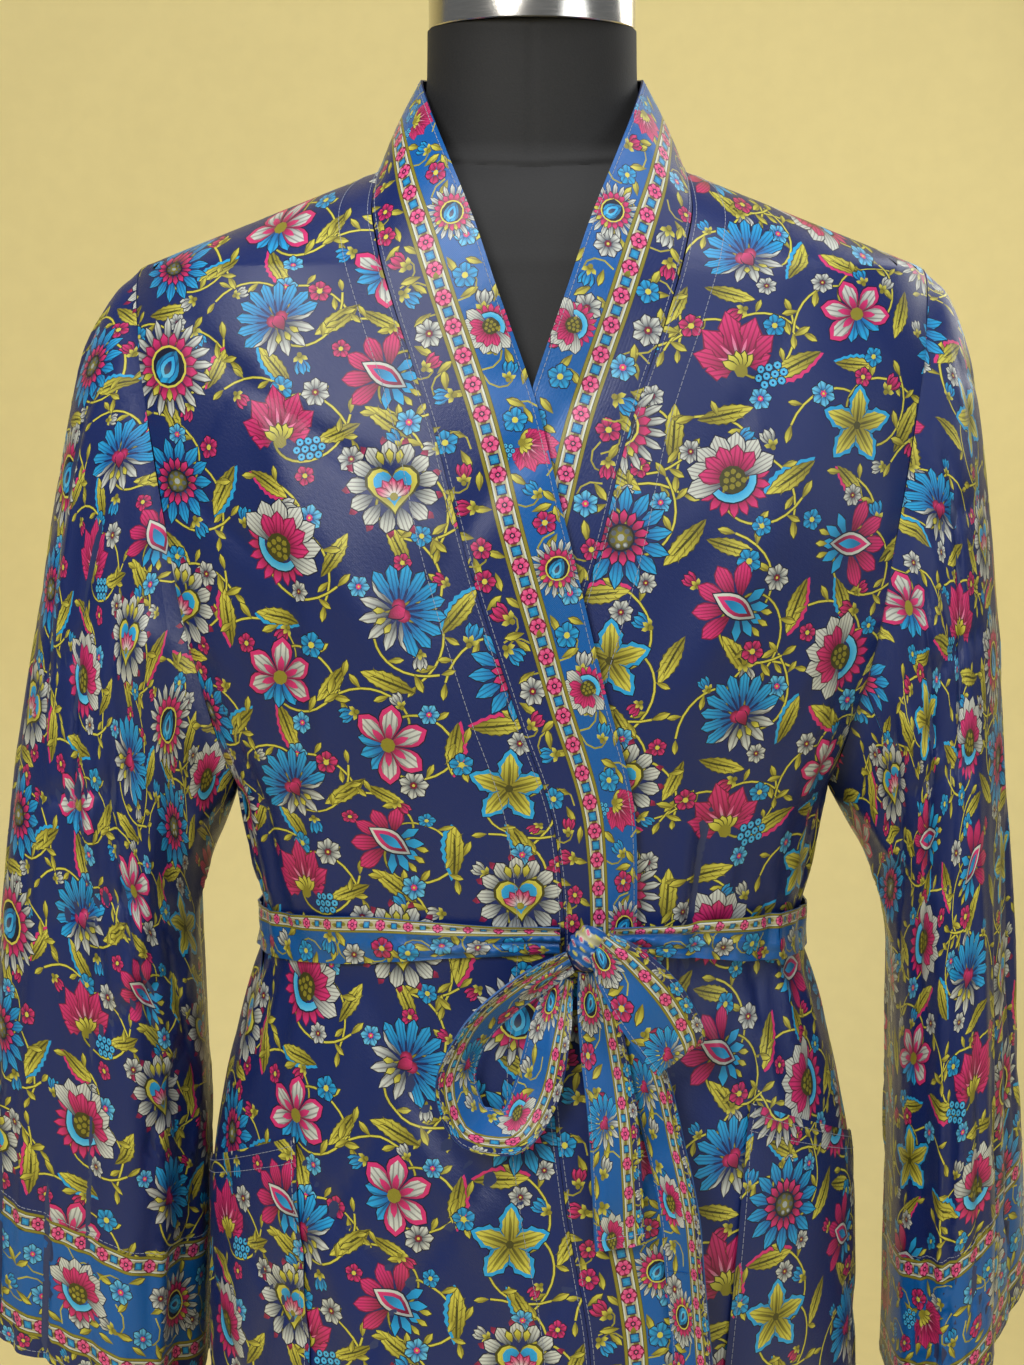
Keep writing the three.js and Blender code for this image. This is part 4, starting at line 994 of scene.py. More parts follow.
@dataclass
class Border:
    """The edge stripes: a cream strip of rosettes between lines, and blue or navy grounds with small flowers."""

    period: float
    upright: bool
    seed: int = 3

    def at(self, across: float, along: float) -> Point:
        """A place on the cut, by its place across and along the border."""
        return (across, along) if self.upright else (along, across)

    def box(self, inks: Inks, low: float, high: float, tone: Ink) -> None:
        """Lays a stripe between two places across the border."""
        ends = (-20.0, self.period + 20.0)
        inks.strip(*((low, high, *ends) if self.upright else (*ends, low, high)), tone)

    def take(self, inks: Inks, lot: Inks) -> None:
        """Lays a lot of patches that repeats along the border."""
        inks.take(lot, *((0.0, self.period) if self.upright else (self.period, 0.0)))

    def small_flowers(self, inks: Inks, low: float, high: float, size: float, pitch: float) -> None:
        """Scatters small flowers and leaves evenly between two places across the border."""
        random = np.random.default_rng(self.seed + int(abs(low * 7 + high)))
        lines, rows = max(1, round((high - low) / pitch)), round(self.period / pitch)
        lot = Inks()
        for i in range(rows):
            for j in range(lines):
                shake = random.uniform(-1, 1, 8)
                wave = (0.25 if i % 2 else -0.25) * (high - low) / max(lines, 1.6)
                across = low + (j + 0.5 + 0.12 * shake[0]) * (high - low) / lines + wave * (lines == 1) * 0.7
                along = (i + 0.5 + 0.16 * shake[1] + 0.5 * (j % 2)) * self.period / rows
                stem = Stencil()
                turn = np.linspace(0, 2.4, 6) + 3 * shake[5]
                reach = np.linspace(2, pitch * 0.72, 6)
                stem.stroke(np.stack([reach * np.cos(turn), reach * np.sin(turn)], -1), 1.0, Ink.OLIVE, Ink.GOLD)
                lot.stamp(stem.shapes, *self.at(across, along), 0, 1, False)
                lot.stamp(LEAFLET, *self.at(across + pitch * 0.4 * shake[2], along + pitch * 0.42), 180 * shake[3],
                          size, False)
                lot.stamp(LEAFLET, *self.at(across - pitch * 0.36, along + pitch * 0.3 * shake[5]), 180 * shake[4],
                          0.9 * size, False)
                kind = (i * 2 + j * 3 + int(3 * abs(shake[7]))) % len(SMALL)
                lot.stamp(SMALL[kind], *self.at(across, along), 180 * shake[4], size * (1 + 0.12 * shake[5]), False)
        self.take(inks, lot)

    def big_flowers(self, inks: Inks, across: float, size: float, kinds: str) -> None:
        """Sets big flowers at even places along the border, one for each letter."""
        lot = Inks()
        for k, kind in enumerate(kinds):
            place = self.at(across, (k + 0.4) * self.period / len(kinds))
            lot.stamp(BIG[Motif(kind)], *place, 40 + 100 * k, size, k % 2 == 1)
        self.take(inks, lot)

    def rosettes(self, inks: Inks, low: float, high: float) -> None:
        """Lays the cream strip between two places across the border, with its lines and rosettes."""
        for a, b, tone in ((0, 1, Ink.MOSS), (0.02, 0.14, Ink.OLIVE), (0.86, 0.98, Ink.OLIVE), (0.17, 0.83, Ink.WHITE),
                           (0.24, 0.76, Ink.CREAM)):
            self.box(inks, mix(low, high, a), mix(low, high, b), tone)
        lot = Inks()
        count = round(self.period / 16.5)
        pitch = self.period / count
        rose, bead = Stencil(), Stencil()
        rose.disc(0, 0, 4.5, Ink.WINE, sides=9)
        rose.ring(6, 0.8, 3.4, 2.7, Ink.PINK, Ink.ROSE, blunt=0.6, steps=3)
        rose.disc(0, 0, 1.5, Ink.NIGHT, sides=6)
        rose.disc(0, 0, 0.8, Ink.ROSE, sides=5)
        for angle in (0, 180):
            bead.blade((0, 1.1 if angle else -1.1), angle + 12, 6.4, 3.1, Ink.MOSS, Ink.OLIVE, steps=4)
        bead.ring(4, 0.0, 3.6, 3.6, Ink.NAVY, first=45, steps=2)
        bead.ring(4, 0.0, 2.8, 2.8, Ink.CYAN, Ink.TEAL, first=45, steps=2)
        for k in range(count):
            for stencil, shift in ((bead, 0.5), (rose, 0.0)):
                lot.stamp(stencil.shapes, *self.at((low + high) / 2, (k + shift) * pitch), 90 if self.upright else 0,
                          (high - low) / 12.5, False)
        self.take(inks, lot)


# ---------------------------------------------------------------- meshes and materials
def linked(name: str, data: bpy.types.ID) -> bpy.types.Object:
    """A new object, put in the scene."""
    thing = bpy.data.objects.new(name, data)
    bpy.context.scene.collection.objects.link(thing)
    return thing


def lay_ink(mesh: bpy.types.Mesh, inks: Array, phases: Array, places: Array) -> None:
    """Stores each corner's ink, the phase of its etched lines and its place on the flat cut."""
    rgba = np.concatenate([inks, np.ones((len(inks), 1))], axis=1)
    mesh.attributes.new("ink", "FLOAT_COLOR", "CORNER").data.foreach_set("color", rgba.ravel())
    mesh.attributes.new("veins", "FLOAT", "CORNER").data.foreach_set("value", phases)
    mesh.uv_layers.new(name="cut").data.foreach_set("uv", places.ravel())


def weld_mesh(mesh: bpy.types.Mesh) -> None:
    """Joins the points of a mesh that lie together and turns its faces outwards."""
    bm = bmesh.new()
    bm.from_mesh(mesh)
    bmesh.ops.remove_doubles(bm, verts=bm.verts, dist=1e-6)
    bmesh.ops.recalc_face_normals(bm, faces=bm.faces)
    bm.to_mesh(mesh)
    bm.free()


class NodeScribe:
    """Adds shader nodes: one call makes a node, sets it and joins its sockets."""

    def __init__(self, material: bpy.types.Material) -> None:
        material.use_nodes = True
        self.tree = material.node_tree
        self.tree.nodes.clear()

    def add(self, kind: str, settings: Optional[dict] = None, **sockets: object) -> bpy.types.Node:
        """Adds a node.

        Args:
            kind: The node's type, without the words ShaderNode.
            settings: Properties set before the sockets; a ramp's stops are a list of (place, colour).
            sockets: Values or links by socket name, with _ for a blank, or by place as s0, s1 and so on.

        Returns:
            The node.
        """
        node = self.tree.nodes.new("ShaderNode" + kind)
        for name, value in (settings or {}).items():
            if name == "stops":
                while len(node.color_ramp.elements) < len(value):
                    node.color_ramp.elements.new(0.5)
                for element, (place, colour) in zip(node.color_ramp.elements, value):
                    element.position, element.color = place, colour
            else:
                setattr(node, name, value)
        for name, value in sockets.items():
            digits = name[1:]
            by_place = name[0] == "s" and digits.isdigit()
            socket = node.inputs[int(digits) if by_place else name.replace("_", " ")]
            source = value.socket if isinstance(value, Value) else value
            if isinstance(source, bpy.types.NodeSocket):
                self.tree.links.new(source, socket)
            else:
                socket.default_value = source
        return node

    def value(self, socket: bpy.types.NodeSocket) -> "Value":
        """Wraps a socket for sums."""
        return Value(self, socket)

    def finish(self, shader: bpy.types.NodeSocket) -> None:
        """Joins the shader to the output."""
        self.add("OutputMaterial", Surface=shader)


class Value:
    """A number in a shader, which takes part in sums and products."""

    def __init__(self, scribe: NodeScribe, socket: bpy.types.NodeSocket) -> None:
        self.scribe, self.socket = scribe, socket

    def apply(self, operation: str, *others: object) -> "Value":
        """One Math node on this value and others."""
        places = {f"s{k + 1}": other for k, other in enumerate(others)}
        node = self.scribe.add("Math", {"operation": operation}, s0=self, **places)
        return Value(self.scribe, node.outputs[0])

    def __add__(self, other: object) -> "Value":
        """The sum."""
        return self.apply("ADD", other)

    def __mul__(self, other: object) -> "Value":
        """The product."""
        return self.apply("MULTIPLY", other)

    def step(self, low: float, high: float) -> "Value":
        """A smooth step from 0 at low to 1 at high."""
        smooth = {"interpolation_type": "SMOOTHSTEP"}
        node = self.scribe.add("MapRange", smooth, Value=self, From_Min=low, From_Max=high)
        return Value(self.scribe, node.outputs[0])


@dataclass(frozen=True)
class Satin:
    """Printed satin: ink with etched lines, a fine slanting weave and a soft sheen."""

    name: str
    gloss: float = 0.36
    sheen: float = 0.01
    weave: float = 0.35

    def make(self) -> bpy.types.Material:
        """The material."""
        material = bpy.data.materials.new(self.name)
        scribe = NodeScribe(material)
        inked = scribe.add("Attribute", {"attribute_name": "ink"}).outputs["Color"]
        lines = scribe.value(scribe.add("Attribute", {"attribute_name": "veins"}).outputs["Fac"])
        etched = (lines * (2 * math.pi)).apply("SINE").step(0.25, 0.9)
        place = scribe.add("TexCoord").outputs["Object"]
        cloudy = scribe.add("TexNoise", {"noise_dimensions": "3D"}, Vector=place, Scale=9.0, Detail=3.0, Roughness=0.55)
        darken = {"data_type": "RGBA", "blend_type": "MULTIPLY"}
        dark = scribe.add("Mix", darken, s0=etched * 0.72, s6=inked, s7=(0.34, 0.30, 0.34, 1))
        shade = scribe.value(cloudy.outputs["Fac"]).step(0.25, 0.75) * 0.16
        dyed = scribe.add("Mix", darken, s0=shade, s6=dark.outputs[2], s7=(0.72, 0.76, 0.86, 1))
        flat = scribe.add("UVMap", {"uv_map": "cut"}).outputs["UV"]
        slant = scribe.add("Mapping", {"vector_type": "POINT"}, Vector=flat, Rotation=(0, 0, math.radians(27)))
        bands = {"wave_type": "BANDS", "bands_direction": "X"}
        weft = scribe.add("TexWave", bands, Vector=slant.outputs[0], Scale=0.42, Distortion=0.6, Detail=1.0)
        slub = scribe.add("TexNoise", {"noise_dimensions": "2D"}, Vector=flat, Scale=0.55, Detail=3.0, Roughness=0.6)
        height = scribe.value(weft.outputs["Fac"]) * 0.5 + scribe.value(slub.outputs["Fac"]) * 0.9
        bump = scribe.add("Bump", None, Strength=self.weave, Distance=0.0004, Height=height)
        rough = scribe.value(slub.outputs["Fac"]) * 0.12 + (self.gloss - 0.06)
        shader = scribe.add("BsdfPrincipled", None, Base_Color=dyed.outputs[2], Roughness=rough, Normal=bump.outputs[0])
        shader.inputs["Sheen Weight"].default_value = self.sheen
        shader.inputs["Sheen Roughness"].default_value = 0.4
        shader.inputs["Sheen Tint"].default_value = (0.6, 0.8, 1.0, 1.0)
        shader.inputs["Specular IOR Level"].default_value = 0.5
        scribe.finish(shader.outputs[0])
        return material


# ---------------------------------------------------------------- cloth
class FlatPrint:
    """A stretch of printed cloth laid flat and cut into triangles along its visible patches.

    The stretch may repeat: what crosses one side then comes in again at the other.
    """

    def __init__(
        self, inks: Inks, box: Box, ground: Ink, spacing: float, block: float = 50.0
    ) -> None:
        self.shapes, self.box, self.ground = inks.shapes, box, ground
        x0, x1, y0, y1 = box
        columns, rows = max(1, round((x1 - x0) / block)), max(1, round((y1 - y0) / block))
        lows = np.array([shape.outline.min(0) for shape in self.shapes])
        highs = np.array([shape.outline.max(0) for shape in self.shapes])
        verts, tris, owners, at = [], [], [], 0
        for i in range(columns):
            for j in range(rows):
                part = (mix(x0, x1, i / columns), mix(x0, x1, (i + 1) / columns),
                        mix(y0, y1, j / rows), mix(y0, y1, (j + 1) / rows))
                near = np.flatnonzero((highs > (part[0], part[2])).all(1) & (lows < (part[1], part[3])).all(1))
                found = self.visible(part, spacing, near, *self.overlaid(part, spacing, near))
                verts.append(found[0])
                tris.append(found[1] + at)
                owners.append(found[2])
                at += len(found[0])
        _, first, again = welded(np.concatenate(verts))
        self.verts = np.concatenate(verts)[first]
        self.tris = again[np.concatenate(tris)]
        self.owners = np.concatenate(owners)
        self.colour, self.phase = self.colours()
        LOG.info("print of %d patches: %d triangles", len(self.shapes), len(self.tris))

    @staticmethod
    def net(part: Box, spacing: float) -> tuple[Array, Array]:
        """The points round a block's rim, and those inside it."""
        x0, x1, y0, y1 = part
        columns, rows = max(2, round((x1 - x0) / spacing)), max(2, round((y1 - y0) / spacing))
        gx, gy = np.meshgrid(np.linspace(x0, x1, columns + 1), np.linspace(y0, y1, rows + 1))
        net = np.stack([gx, gy], -1)
        rim = np.concatenate([net[0, :-1], net[:-1, -1], net[-1, :0:-1], net[:0:-1, 0]])
        return rim, net[1:-1, 1:-1].reshape(-1, 2)

    def overlaid(self, part: Box, spacing: float, near: Array) -> tuple[Array, Array, Array]:
        """Cuts one block along every patch near it, hidden ones too; owners are the topmost patches, or -1."""
        rim, _ = self.net(part, spacing)
        points, faces = [rim], [list(range(len(rim)))]
        at = len(rim)
        for k in near.tolist():
            outline = divided(self.shapes[k].outline, BEND)
            after = np.roll(outline, -1, axis=0)
            anticlockwise = np.sum(outline[:, 0] * after[:, 1] - outline[:, 1] * after[:, 0]) > 0
            points.append(outline if anticlockwise else outline[::-1])
            faces.append(list(range(at, at + len(outline))))
            at += len(outline)
        flat = [Vector(point) for point in np.concatenate(points).tolist()]
        found, _, cells, _, _, _ = delaunay_2d_cdt(flat, [], faces, 0, 1e-4, True)
        verts = np.array([tuple(vertex) for vertex in found])
        tris = np.array([cell for cell in cells if len(cell) == 3], int)
        middle = verts[tris].mean(axis=1)
        tris = tris[((middle > (part[0], part[2])) & (middle < (part[1], part[3]))).all(axis=1)]
        return verts, tris, self.topmost(verts[tris].mean(axis=1), near)

    def topmost(self, places: Array, near: Array) -> Array:
        """The topmost patch over each place, or -1.

        Args:
            places: Places on the flat cut.
            near: The patches that may reach them, lowest first.

        Returns:
            Each place's patch.
        """
        top = np.full(len(places), -1)
        for k in near.tolist():
            outline = self.shapes[k].outline
            some = np.flatnonzero(((places > outline.min(0)) & (places < outline.max(0))).all(axis=1))
            if len(some):
                x, y = places[some, 0][:, None], places[some, 1][:, None]
                x0, y0 = outline.T
                x1, y1 = np.roll(outline, -1, axis=0).T
                crossing = ((y0 > y) != (y1 > y)) & (x < x0 + (y - y0) * (x1 - x0) / np.where(y1 == y0, 1e-9, y1 - y0))
                top[some[crossing.sum(axis=1) % 2 == 1]] = k
        return top

    def visible(
        self, part: Box, spacing: float, patches: Array, verts: Array, tris: Array, owners: Array
    ) -> tuple[Array, Array, Array]:
        """Cuts a block again along the edges that show, which leaves far fewer triangles."""
        edges = np.sort(sides(tris), axis=1)
        who = np.tile(owners, 3)
        keys = edges[:, 0] * (len(verts) + 1) + edges[:, 1]
        order = np.argsort(keys, kind="stable")
        keys, edges, who = keys[order], edges[order], who[order]
        same = np.flatnonzero((keys[:-1] == keys[1:]) & (who[:-1] == who[1:]))
        shown = np.ones(len(keys), bool)
        shown[same] = shown[same + 1] = False
        pairs = np.unique(edges[shown], axis=0)
        low, high, near = np.array(part[::2]), np.array(part[1::2]), 1e-3
        fixed = ((verts < low + near) | (verts > high - near)).any(axis=1)
        links: dict[int, set[int]] = {}
        for a, b in pairs.tolist():
            links.setdefault(a, set()).add(b)
            links.setdefault(b, set()).add(a)
        places = verts.tolist()
        for vertex in list(links):
            joined = links[vertex]
            if len(joined) != 2 or fixed[vertex]:
                continue
            a, b = joined
            (ax, ay), (bx, by), (vx, vy) = places[a], places[b], places[vertex]
            long = math.hypot(bx - ax, by - ay)
            away = abs((bx - ax) * (vy - ay) - (by - ay) * (vx - ax))
            if b in links[a] or long > STRAIGHT or away > STRAY * long:
                continue
            links[a].remove(vertex)
            links[b].remove(vertex)
            links[a].add(b)
            links[b].add(a)
            del links[vertex]
        used = np.array(sorted(links), int)
        where = {int(vertex): k for k, vertex in enumerate(used)}
        lines = [(where[a], where[b]) for a in links for b in links[a] if a < b]
        tree = KDTree(len(used))
        for k, vertex in enumerate(used):
            tree.insert((*places[vertex], 0), k)
        tree.balance()
        free = [point for point in self.net(part, spacing)[1].tolist() if tree.find((*point, 0))[2] > FREE]
        points = [Vector(places[vertex]) for vertex in used] + [Vector(point) for point in free]
        found, _, cells, _, _, _ = delaunay_2d_cdt(points, lines, [], 0, 1e-5, True)
        found = np.array([tuple(vertex) for vertex in found])
        cells = np.array([cell for cell in cells if len(cell) == 3], int)
        return found, cells, self.topmost(found[cells].mean(axis=1), patches)

    def colours(self) -> tuple[Array, Array]:
        """The ink and the etched lines' phase at each corner."""
        table = [Shape(np.zeros((3, 2)), self.ground, self.ground), *self.shapes]
        inner = np.array([shape.inner.value for shape in table])
        outer = np.array([shape.outer.value for shape in table])
        origin = np.array([shape.origin for shape in table])
        near = np.array([shape.near for shape in table])
        far = np.array([max(shape.far, shape.near + 0.01) for shape in table])
        veins = np.array([shape.veins for shape in table])
        which = self.owners[:, None] + 1 + np.zeros((1, 3), int)
        away = self.verts[self.tris] - origin[which]
        share = ease((np.linalg.norm(away, axis=-1) - near[which]) / (far[which] - near[which]))[..., None]
        return mix(inner[which], outer[which], share), np.sum(away * veins[which], axis=-1)

    def over(self, chart: Chart, start: Point, low: float = -1e9) -> list[tuple["FlatPrint", float, float]]:
        """Repeats the stretch over a chart.

        Args:
            chart: The sheet to cover.
            start: Where the stretch's lower left corner would lie.
            low: No copy starts below this place along the chart.

        Returns:
            The stretch and each copy's shift across and along.
        """
        x0, x1, y0, y1 = self.box
        wide, tall = x1 - x0, y1 - y0
        lefts, ups = (
            np.arange(math.floor((cut.min() - first) / size), math.ceil((cut.max() - first) / size))
            for cut, first, size in ((chart.across, start[0], wide), (chart.along, start[1], tall))
        )
        return [(self, start[0] + i * wide - x0, start[1] + j * tall - y0) for i in lefts for j in ups
                if start[1] + j * tall > low - 1]


def clip(corners: Array, column: int, limit: float, above: bool) -> Array:
    """Cuts triangles off at a limit.

    Args:
        corners: Triangles by corners by columns of values.
        column: The column that the limit holds for.
        limit: The limit.
        above: Whether what lies above the limit is kept.

    Returns:
        The triangles left, whose new corners have values in between.
    """
    depth = (corners[..., column] - limit) * (1 if above else -1)
    inside = depth >= 0
    count = inside.sum(axis=1)
    pieces = [corners[count == 3]]
    for wanted in (1, 2):
        some, deep, within = corners[count == wanted], depth[count == wanted], inside[count == wanted]
        if not len(some):
            continue
        lone = np.argmax(within if wanted == 1 else ~within, axis=1)
        rows = np.arange(len(some))
        a, b, c = (some[rows, (lone + k) % 3] for k in range(3))
        da, db, dc = (deep[rows, (lone + k) % 3][:, None] for k in range(3))
        ab, ac = a + (b - a) * da / (da - db), a + (c - a) * da / (da - dc)
        ab[:, column] = ac[:, column] = limit
        if wanted == 1:
            pieces.append(np.stack([a, ab, ac], 1))
        else:
            pieces += [np.stack([ab, b, c], 1), np.stack([ab, c, ac], 1)]
    return np.concatenate(pieces)


class ClothSheet:
    """Turns a chart and its prints into a thin printed shell."""

    def __init__(
        self, chart: Chart, prints: Sequence[tuple[FlatPrint, float, float]], thick: float, spacing: float
    ) -> None:
        self.chart, self.prints, self.thick, self.spacing = chart, prints, thick, spacing

    def lattice(self) -> Array:
        """Points inside the sheet's own square, in millimetres of its mean size."""
        wide, tall = self.chart.width, self.chart.length
        columns, rows = max(2, round(wide / self.spacing)), max(2, round(tall / self.spacing))
        u, v = np.meshgrid(np.linspace(0, wide, columns + 1), np.linspace(0, tall, rows + 1))
        return np.stack([u, v], -1)[1:-1, 1:-1].reshape(-1, 2)

    def cut(self) -> tuple[Array, Array, Array, Array]:
        """Cuts the outer face out of the prints laid over the chart.

        Returns:
            Points in the sheet's own square, triangles, and colours and phases at their corners.
        """
        chart = self.chart
        low = np.array([chart.across.min(), chart.along.min()]) - 4
        high = np.array([chart.across.max(), chart.along.max()]) + 4
        kept = []
        for flat_print, x, y in self.prints:
            verts, tris = flat_print.verts + (x, y), flat_print.tris
            colour, phase = flat_print.colour, flat_print.phase
            at = verts[tris]
            near = ((at.max(1) > low) & (at.min(1) < high)).all(axis=1)
            if not near.any():
                continue
            used, again = np.unique(tris[near], return_inverse=True)
            p, q, off = chart.locate_all(verts[used])
            place = np.column_stack([p, q, off])[again.reshape(-1, 3)]
            corners = np.concatenate([place, colour[near], phase[near][..., None]], axis=-1)
            kept.append(corners[(place[..., 2] < 0.6).all(axis=1)])
        corners = np.concatenate(kept)
        for column in (0, 1):
            corners = clip(clip(corners, column, 0.0, True), column, 1.0, False)
        size = np.array([chart.width, chart.length])
        grid, _, tris = welded(corners[..., :2].reshape(-1, 2) * size)
        tris = tris.reshape(-1, 3)
        whole = (tris[:, 0] != tris[:, 1]) & (tris[:, 1] != tris[:, 2]) & (tris[:, 2] != tris[:, 0])
        corners, tris = corners[whole], tris[whole]
        points = (grid * WELD).clip(0, size)
        turn = points[tris]
        area = np.cross(turn[:, 1] - turn[:, 0], turn[:, 2] - turn[:, 0])
        over = area < 0
        tris[over] = tris[over][:, ::-1]
        corners[over] = corners[over][:, ::-1]
        return points, tris, corners[..., 3:6].reshape(-1, 3), corners[..., 6].reshape(-1)

    def build(self, name: str, material: bpy.types.Material) -> bpy.types.Object:
        """Builds the sheet's object: a printed face, a paler reverse and the edges between them."""
        chart, wide, tall = self.chart, self.chart.width, self.chart.length
        uv, tris, colour, phase = self.cut()
        p, q = np.clip(uv[:, 0] / wide, 0, 1), np.clip(uv[:, 1] / tall, 0, 1)
        outer = chart.place(p, q, self.thick / 2)
        flat = np.stack([chart.sample(chart.across, p, q), chart.sample(chart.along, p, q)], -1)
        edges = sides(tris)
        low, high = np.sort(edges, axis=1).T
        _, first, count = np.unique(low * (len(uv) + 1) + high, return_index=True, return_counts=True)
        border = edges[first[count == 1]]
        loop = np.unique(border)
        back = {int(vertex): k for k, vertex in enumerate(loop)}
        points = [Vector(place) for place in np.concatenate([uv[loop], self.lattice()]).tolist()]
        rim_edges = [(back[int(a)], back[int(b)]) for a, b in border]
        found, _, cells, sources, _, _ = delaunay_2d_cdt(points, rim_edges, [], 0, 1e-6, True)
        inner_uv = np.array([tuple(vertex) for vertex in found])
        inner_tris = np.array([cell for cell in cells if len(cell) == 3], int)
        middle = inner_uv[inner_tris].mean(axis=1)
        room = 1e-3
        inner_tris = inner_tris[(middle[:, 0] > room) & (middle[:, 0] < wide - room)
                                & (middle[:, 1] > room) & (middle[:, 1] < tall - room)]
        home = {}
        for k, source in enumerate(sources):
            for vertex in source:
                home[vertex] = k
        ip, iq = np.clip(inner_uv[:, 0] / wide, 0, 1), np.clip(inner_uv[:, 1] / tall, 0, 1)
        inner = chart.place(ip, iq, -self.thick / 2)
        shift = len(outer)
        a, b = border[:, 0], border[:, 1]
        ia = np.array([home[back[int(k)]] for k in a]) + shift
        ib = np.array([home[back[int(k)]] for k in b]) + shift
        rim = np.concatenate([np.stack([b, a, ia], -1), np.stack([b, ia, ib], -1)])
        faces = np.concatenate([tris, inner_tris[:, ::-1] + shift, rim])
        if chart.mirrored:
            faces = faces[:, ::-1]
            colour = colour.reshape(-1, 3, 3)[:, ::-1].reshape(-1, 3)
            phase = phase.reshape(-1, 3)[:, ::-1].reshape(-1)
        normal = unit(chart.sample(chart.normals, p, q))
        inner_normal = -unit(chart.sample(chart.normals, ip, iq))
        LOG.info("%s: %d border edges", name, len(border))
        return self.mesh(name, material, outer, inner, faces, len(tris), len(inner_tris), colour, phase,
                         np.concatenate([normal, inner_normal]), flat)

    def mesh(
        self, name: str, material: bpy.types.Material, outer: Array, inner: Array, faces: Array, printed: int,
        reverse: int, colour: Array, phase: Array, normals: Array, flat: Array,
    ) -> bpy.types.Object:
        """Makes the Blender mesh and its attributes."""
        points = np.concatenate([outer, inner]) * MM
        mesh = bpy.data.meshes.new(name)
        mesh.vertices.add(len(points))
        mesh.vertices.foreach_set("co", points.ravel())
        mesh.loops.add(faces.size)
        mesh.loops.foreach_set("vertex_index", faces.ravel())
        mesh.polygons.add(len(faces))
        mesh.polygons.foreach_set("loop_start", np.arange(0, faces.size, 3))
        mesh.update(calc_edges=True)
        muted = mix(np.array(self.prints[0][0].ground.value), np.array(Ink.GREY.value), 0.22)
        tail = np.broadcast_to(muted, ((len(faces) - printed) * 3, 3))
        places = np.concatenate([flat, np.zeros((len(inner), 2))])
        lay_ink(mesh, np.concatenate([colour, tail]), np.concatenate([phase, np.zeros(len(tail))]),
                places[faces.ravel()])
        mesh.materials.append(material)
        mesh.polygons.foreach_set("use_smooth", np.ones(len(faces), bool))
        corner = normals[faces.ravel()].copy()
        edge_from = (printed + reverse) * 3
        rim = points[faces[printed + reverse:]]
        across = unit(np.cross(rim[:, 1] - rim[:, 0], rim[:, 2] - rim[:, 0]))
        corner[edge_from:] = np.repeat(across, 3, axis=0)
        mesh.normals_split_custom_set(corner.tolist())
        LOG.info("%s: %d triangles", name, len(faces))
        return linked(name, mesh)


@dataclass
class PrintRoom:
    """Every stretch of print that the robe is cut from."""

    edge: float = 14.0
    strip: float = 13.0
    blue: float = 54.0
    band: float = 56.0
    belt: float = 23.5
    folded: float = 14.2

    def __post_init__(self) -> None:
        """Prints the stretches."""
        self.floral = Floral()
        self.wide, self.tall = self.floral.period_x, self.floral.period_y
        field_inks = Inks()
        self.floral.lay(field_inks, 0.0)
        self.field = FlatPrint(field_inks, (0, self.wide, 0, self.tall), Ink.NAVY, 6.0)
        self.cuff_top = self.edge + 2 * self.strip + self.blue
        self.cuff = FlatPrint(self.cuff_inks(), (0, self.wide, 0, self.cuff_top + self.tall), Ink.NAVY, 6.0)
        self.bands = {side: self.striped(side.value, 20, 34, self.band, Ink.NAVY, Ink.BLUE) for side in Side}
        self.full_belt = FlatPrint(self.belt_inks(), (-self.belt, self.belt, 0, self.wide / 2), Ink.BLUE, 3.4)
        self.folded_belt = FlatPrint(self.folded_inks(), (-self.folded, self.folded, 0, self.wide / 2), Ink.BLUE, 3.4)

    def cuff_inks(self) -> Inks:
        """The cuff's navy edge, blue ground and two strips, below one repeat of the field."""
        inks = Inks()
        self.floral.lay(inks, self.cuff_top)
        border = Border(self.wide, False)
        blue_from, blue_to = self.edge + self.strip, self.edge + self.strip + self.blue
        border.box(inks, -20, self.edge + 6, Ink.NAVY)
        border.small_flowers(inks, 0, self.edge, 0.62, 15)
        border.box(inks, blue_from - 2, blue_to + 2, Ink.BLUE)
        border.small_flowers(inks, blue_from, blue_to, 0.85, 24)
        border.big_flowers(inks, (blue_from + blue_to) / 2, 0.8, "hmpls")
        border.rosettes(inks, self.edge, blue_from)
        border.rosettes(inks, blue_to, self.cuff_top)
        return inks

    def striped(self, own: int, low: float, high: float, width: float, first: Ink, second: Ink) -> FlatPrint:
        """A band's print: one ground, the strip and another ground, counted from the seam towards own."""
        inks, border = Inks(), Border(self.wide / 2, True, 5 + own)
        border.small_flowers(inks, *sorted((-3.0 * own, (low + 1) * own)), 0.85, 20)
        border.box(inks, *sorted((high * own - own, (width + 12) * own)), second)
        border.small_flowers(inks, *sorted((high * own, (width + 1) * own)), 0.8, 20)
        border.big_flowers(inks, own * (high + width + 2) / 2, 0.56, "sml")
        border.rosettes(inks, *sorted((low * own, high * own)))
        return FlatPrint(inks, (*sorted((0.0, width * own)), 0, self.wide / 2), first, 4.0)

    def belt_inks(self) -> Inks:
        """The belt's stripes: blue, the cream strip, then navy."""
        inks, border = Inks(), Border(self.wide / 2, True, 31)
        border.small_flowers(inks, -25, 4, 1.0, 22)
        border.big_flowers(inks, -8, 0.62, "spl")
        border.box(inks, 14, 36, Ink.NAVY)
        border.small_flowers(inks, 15, 24, 0.55, 12)
        border.rosettes(inks, 4.5, 16)
        return inks

    def folded_inks(self) -> Inks:
        """The folded belt's stripes: blue below the cream strip."""
        inks, border = Inks(), Border(self.wide / 2, True, 57)
        border.small_flowers(inks, -15, 6, 0.85, 19)
        border.rosettes(inks, 5.2, 14.4)
        return inks


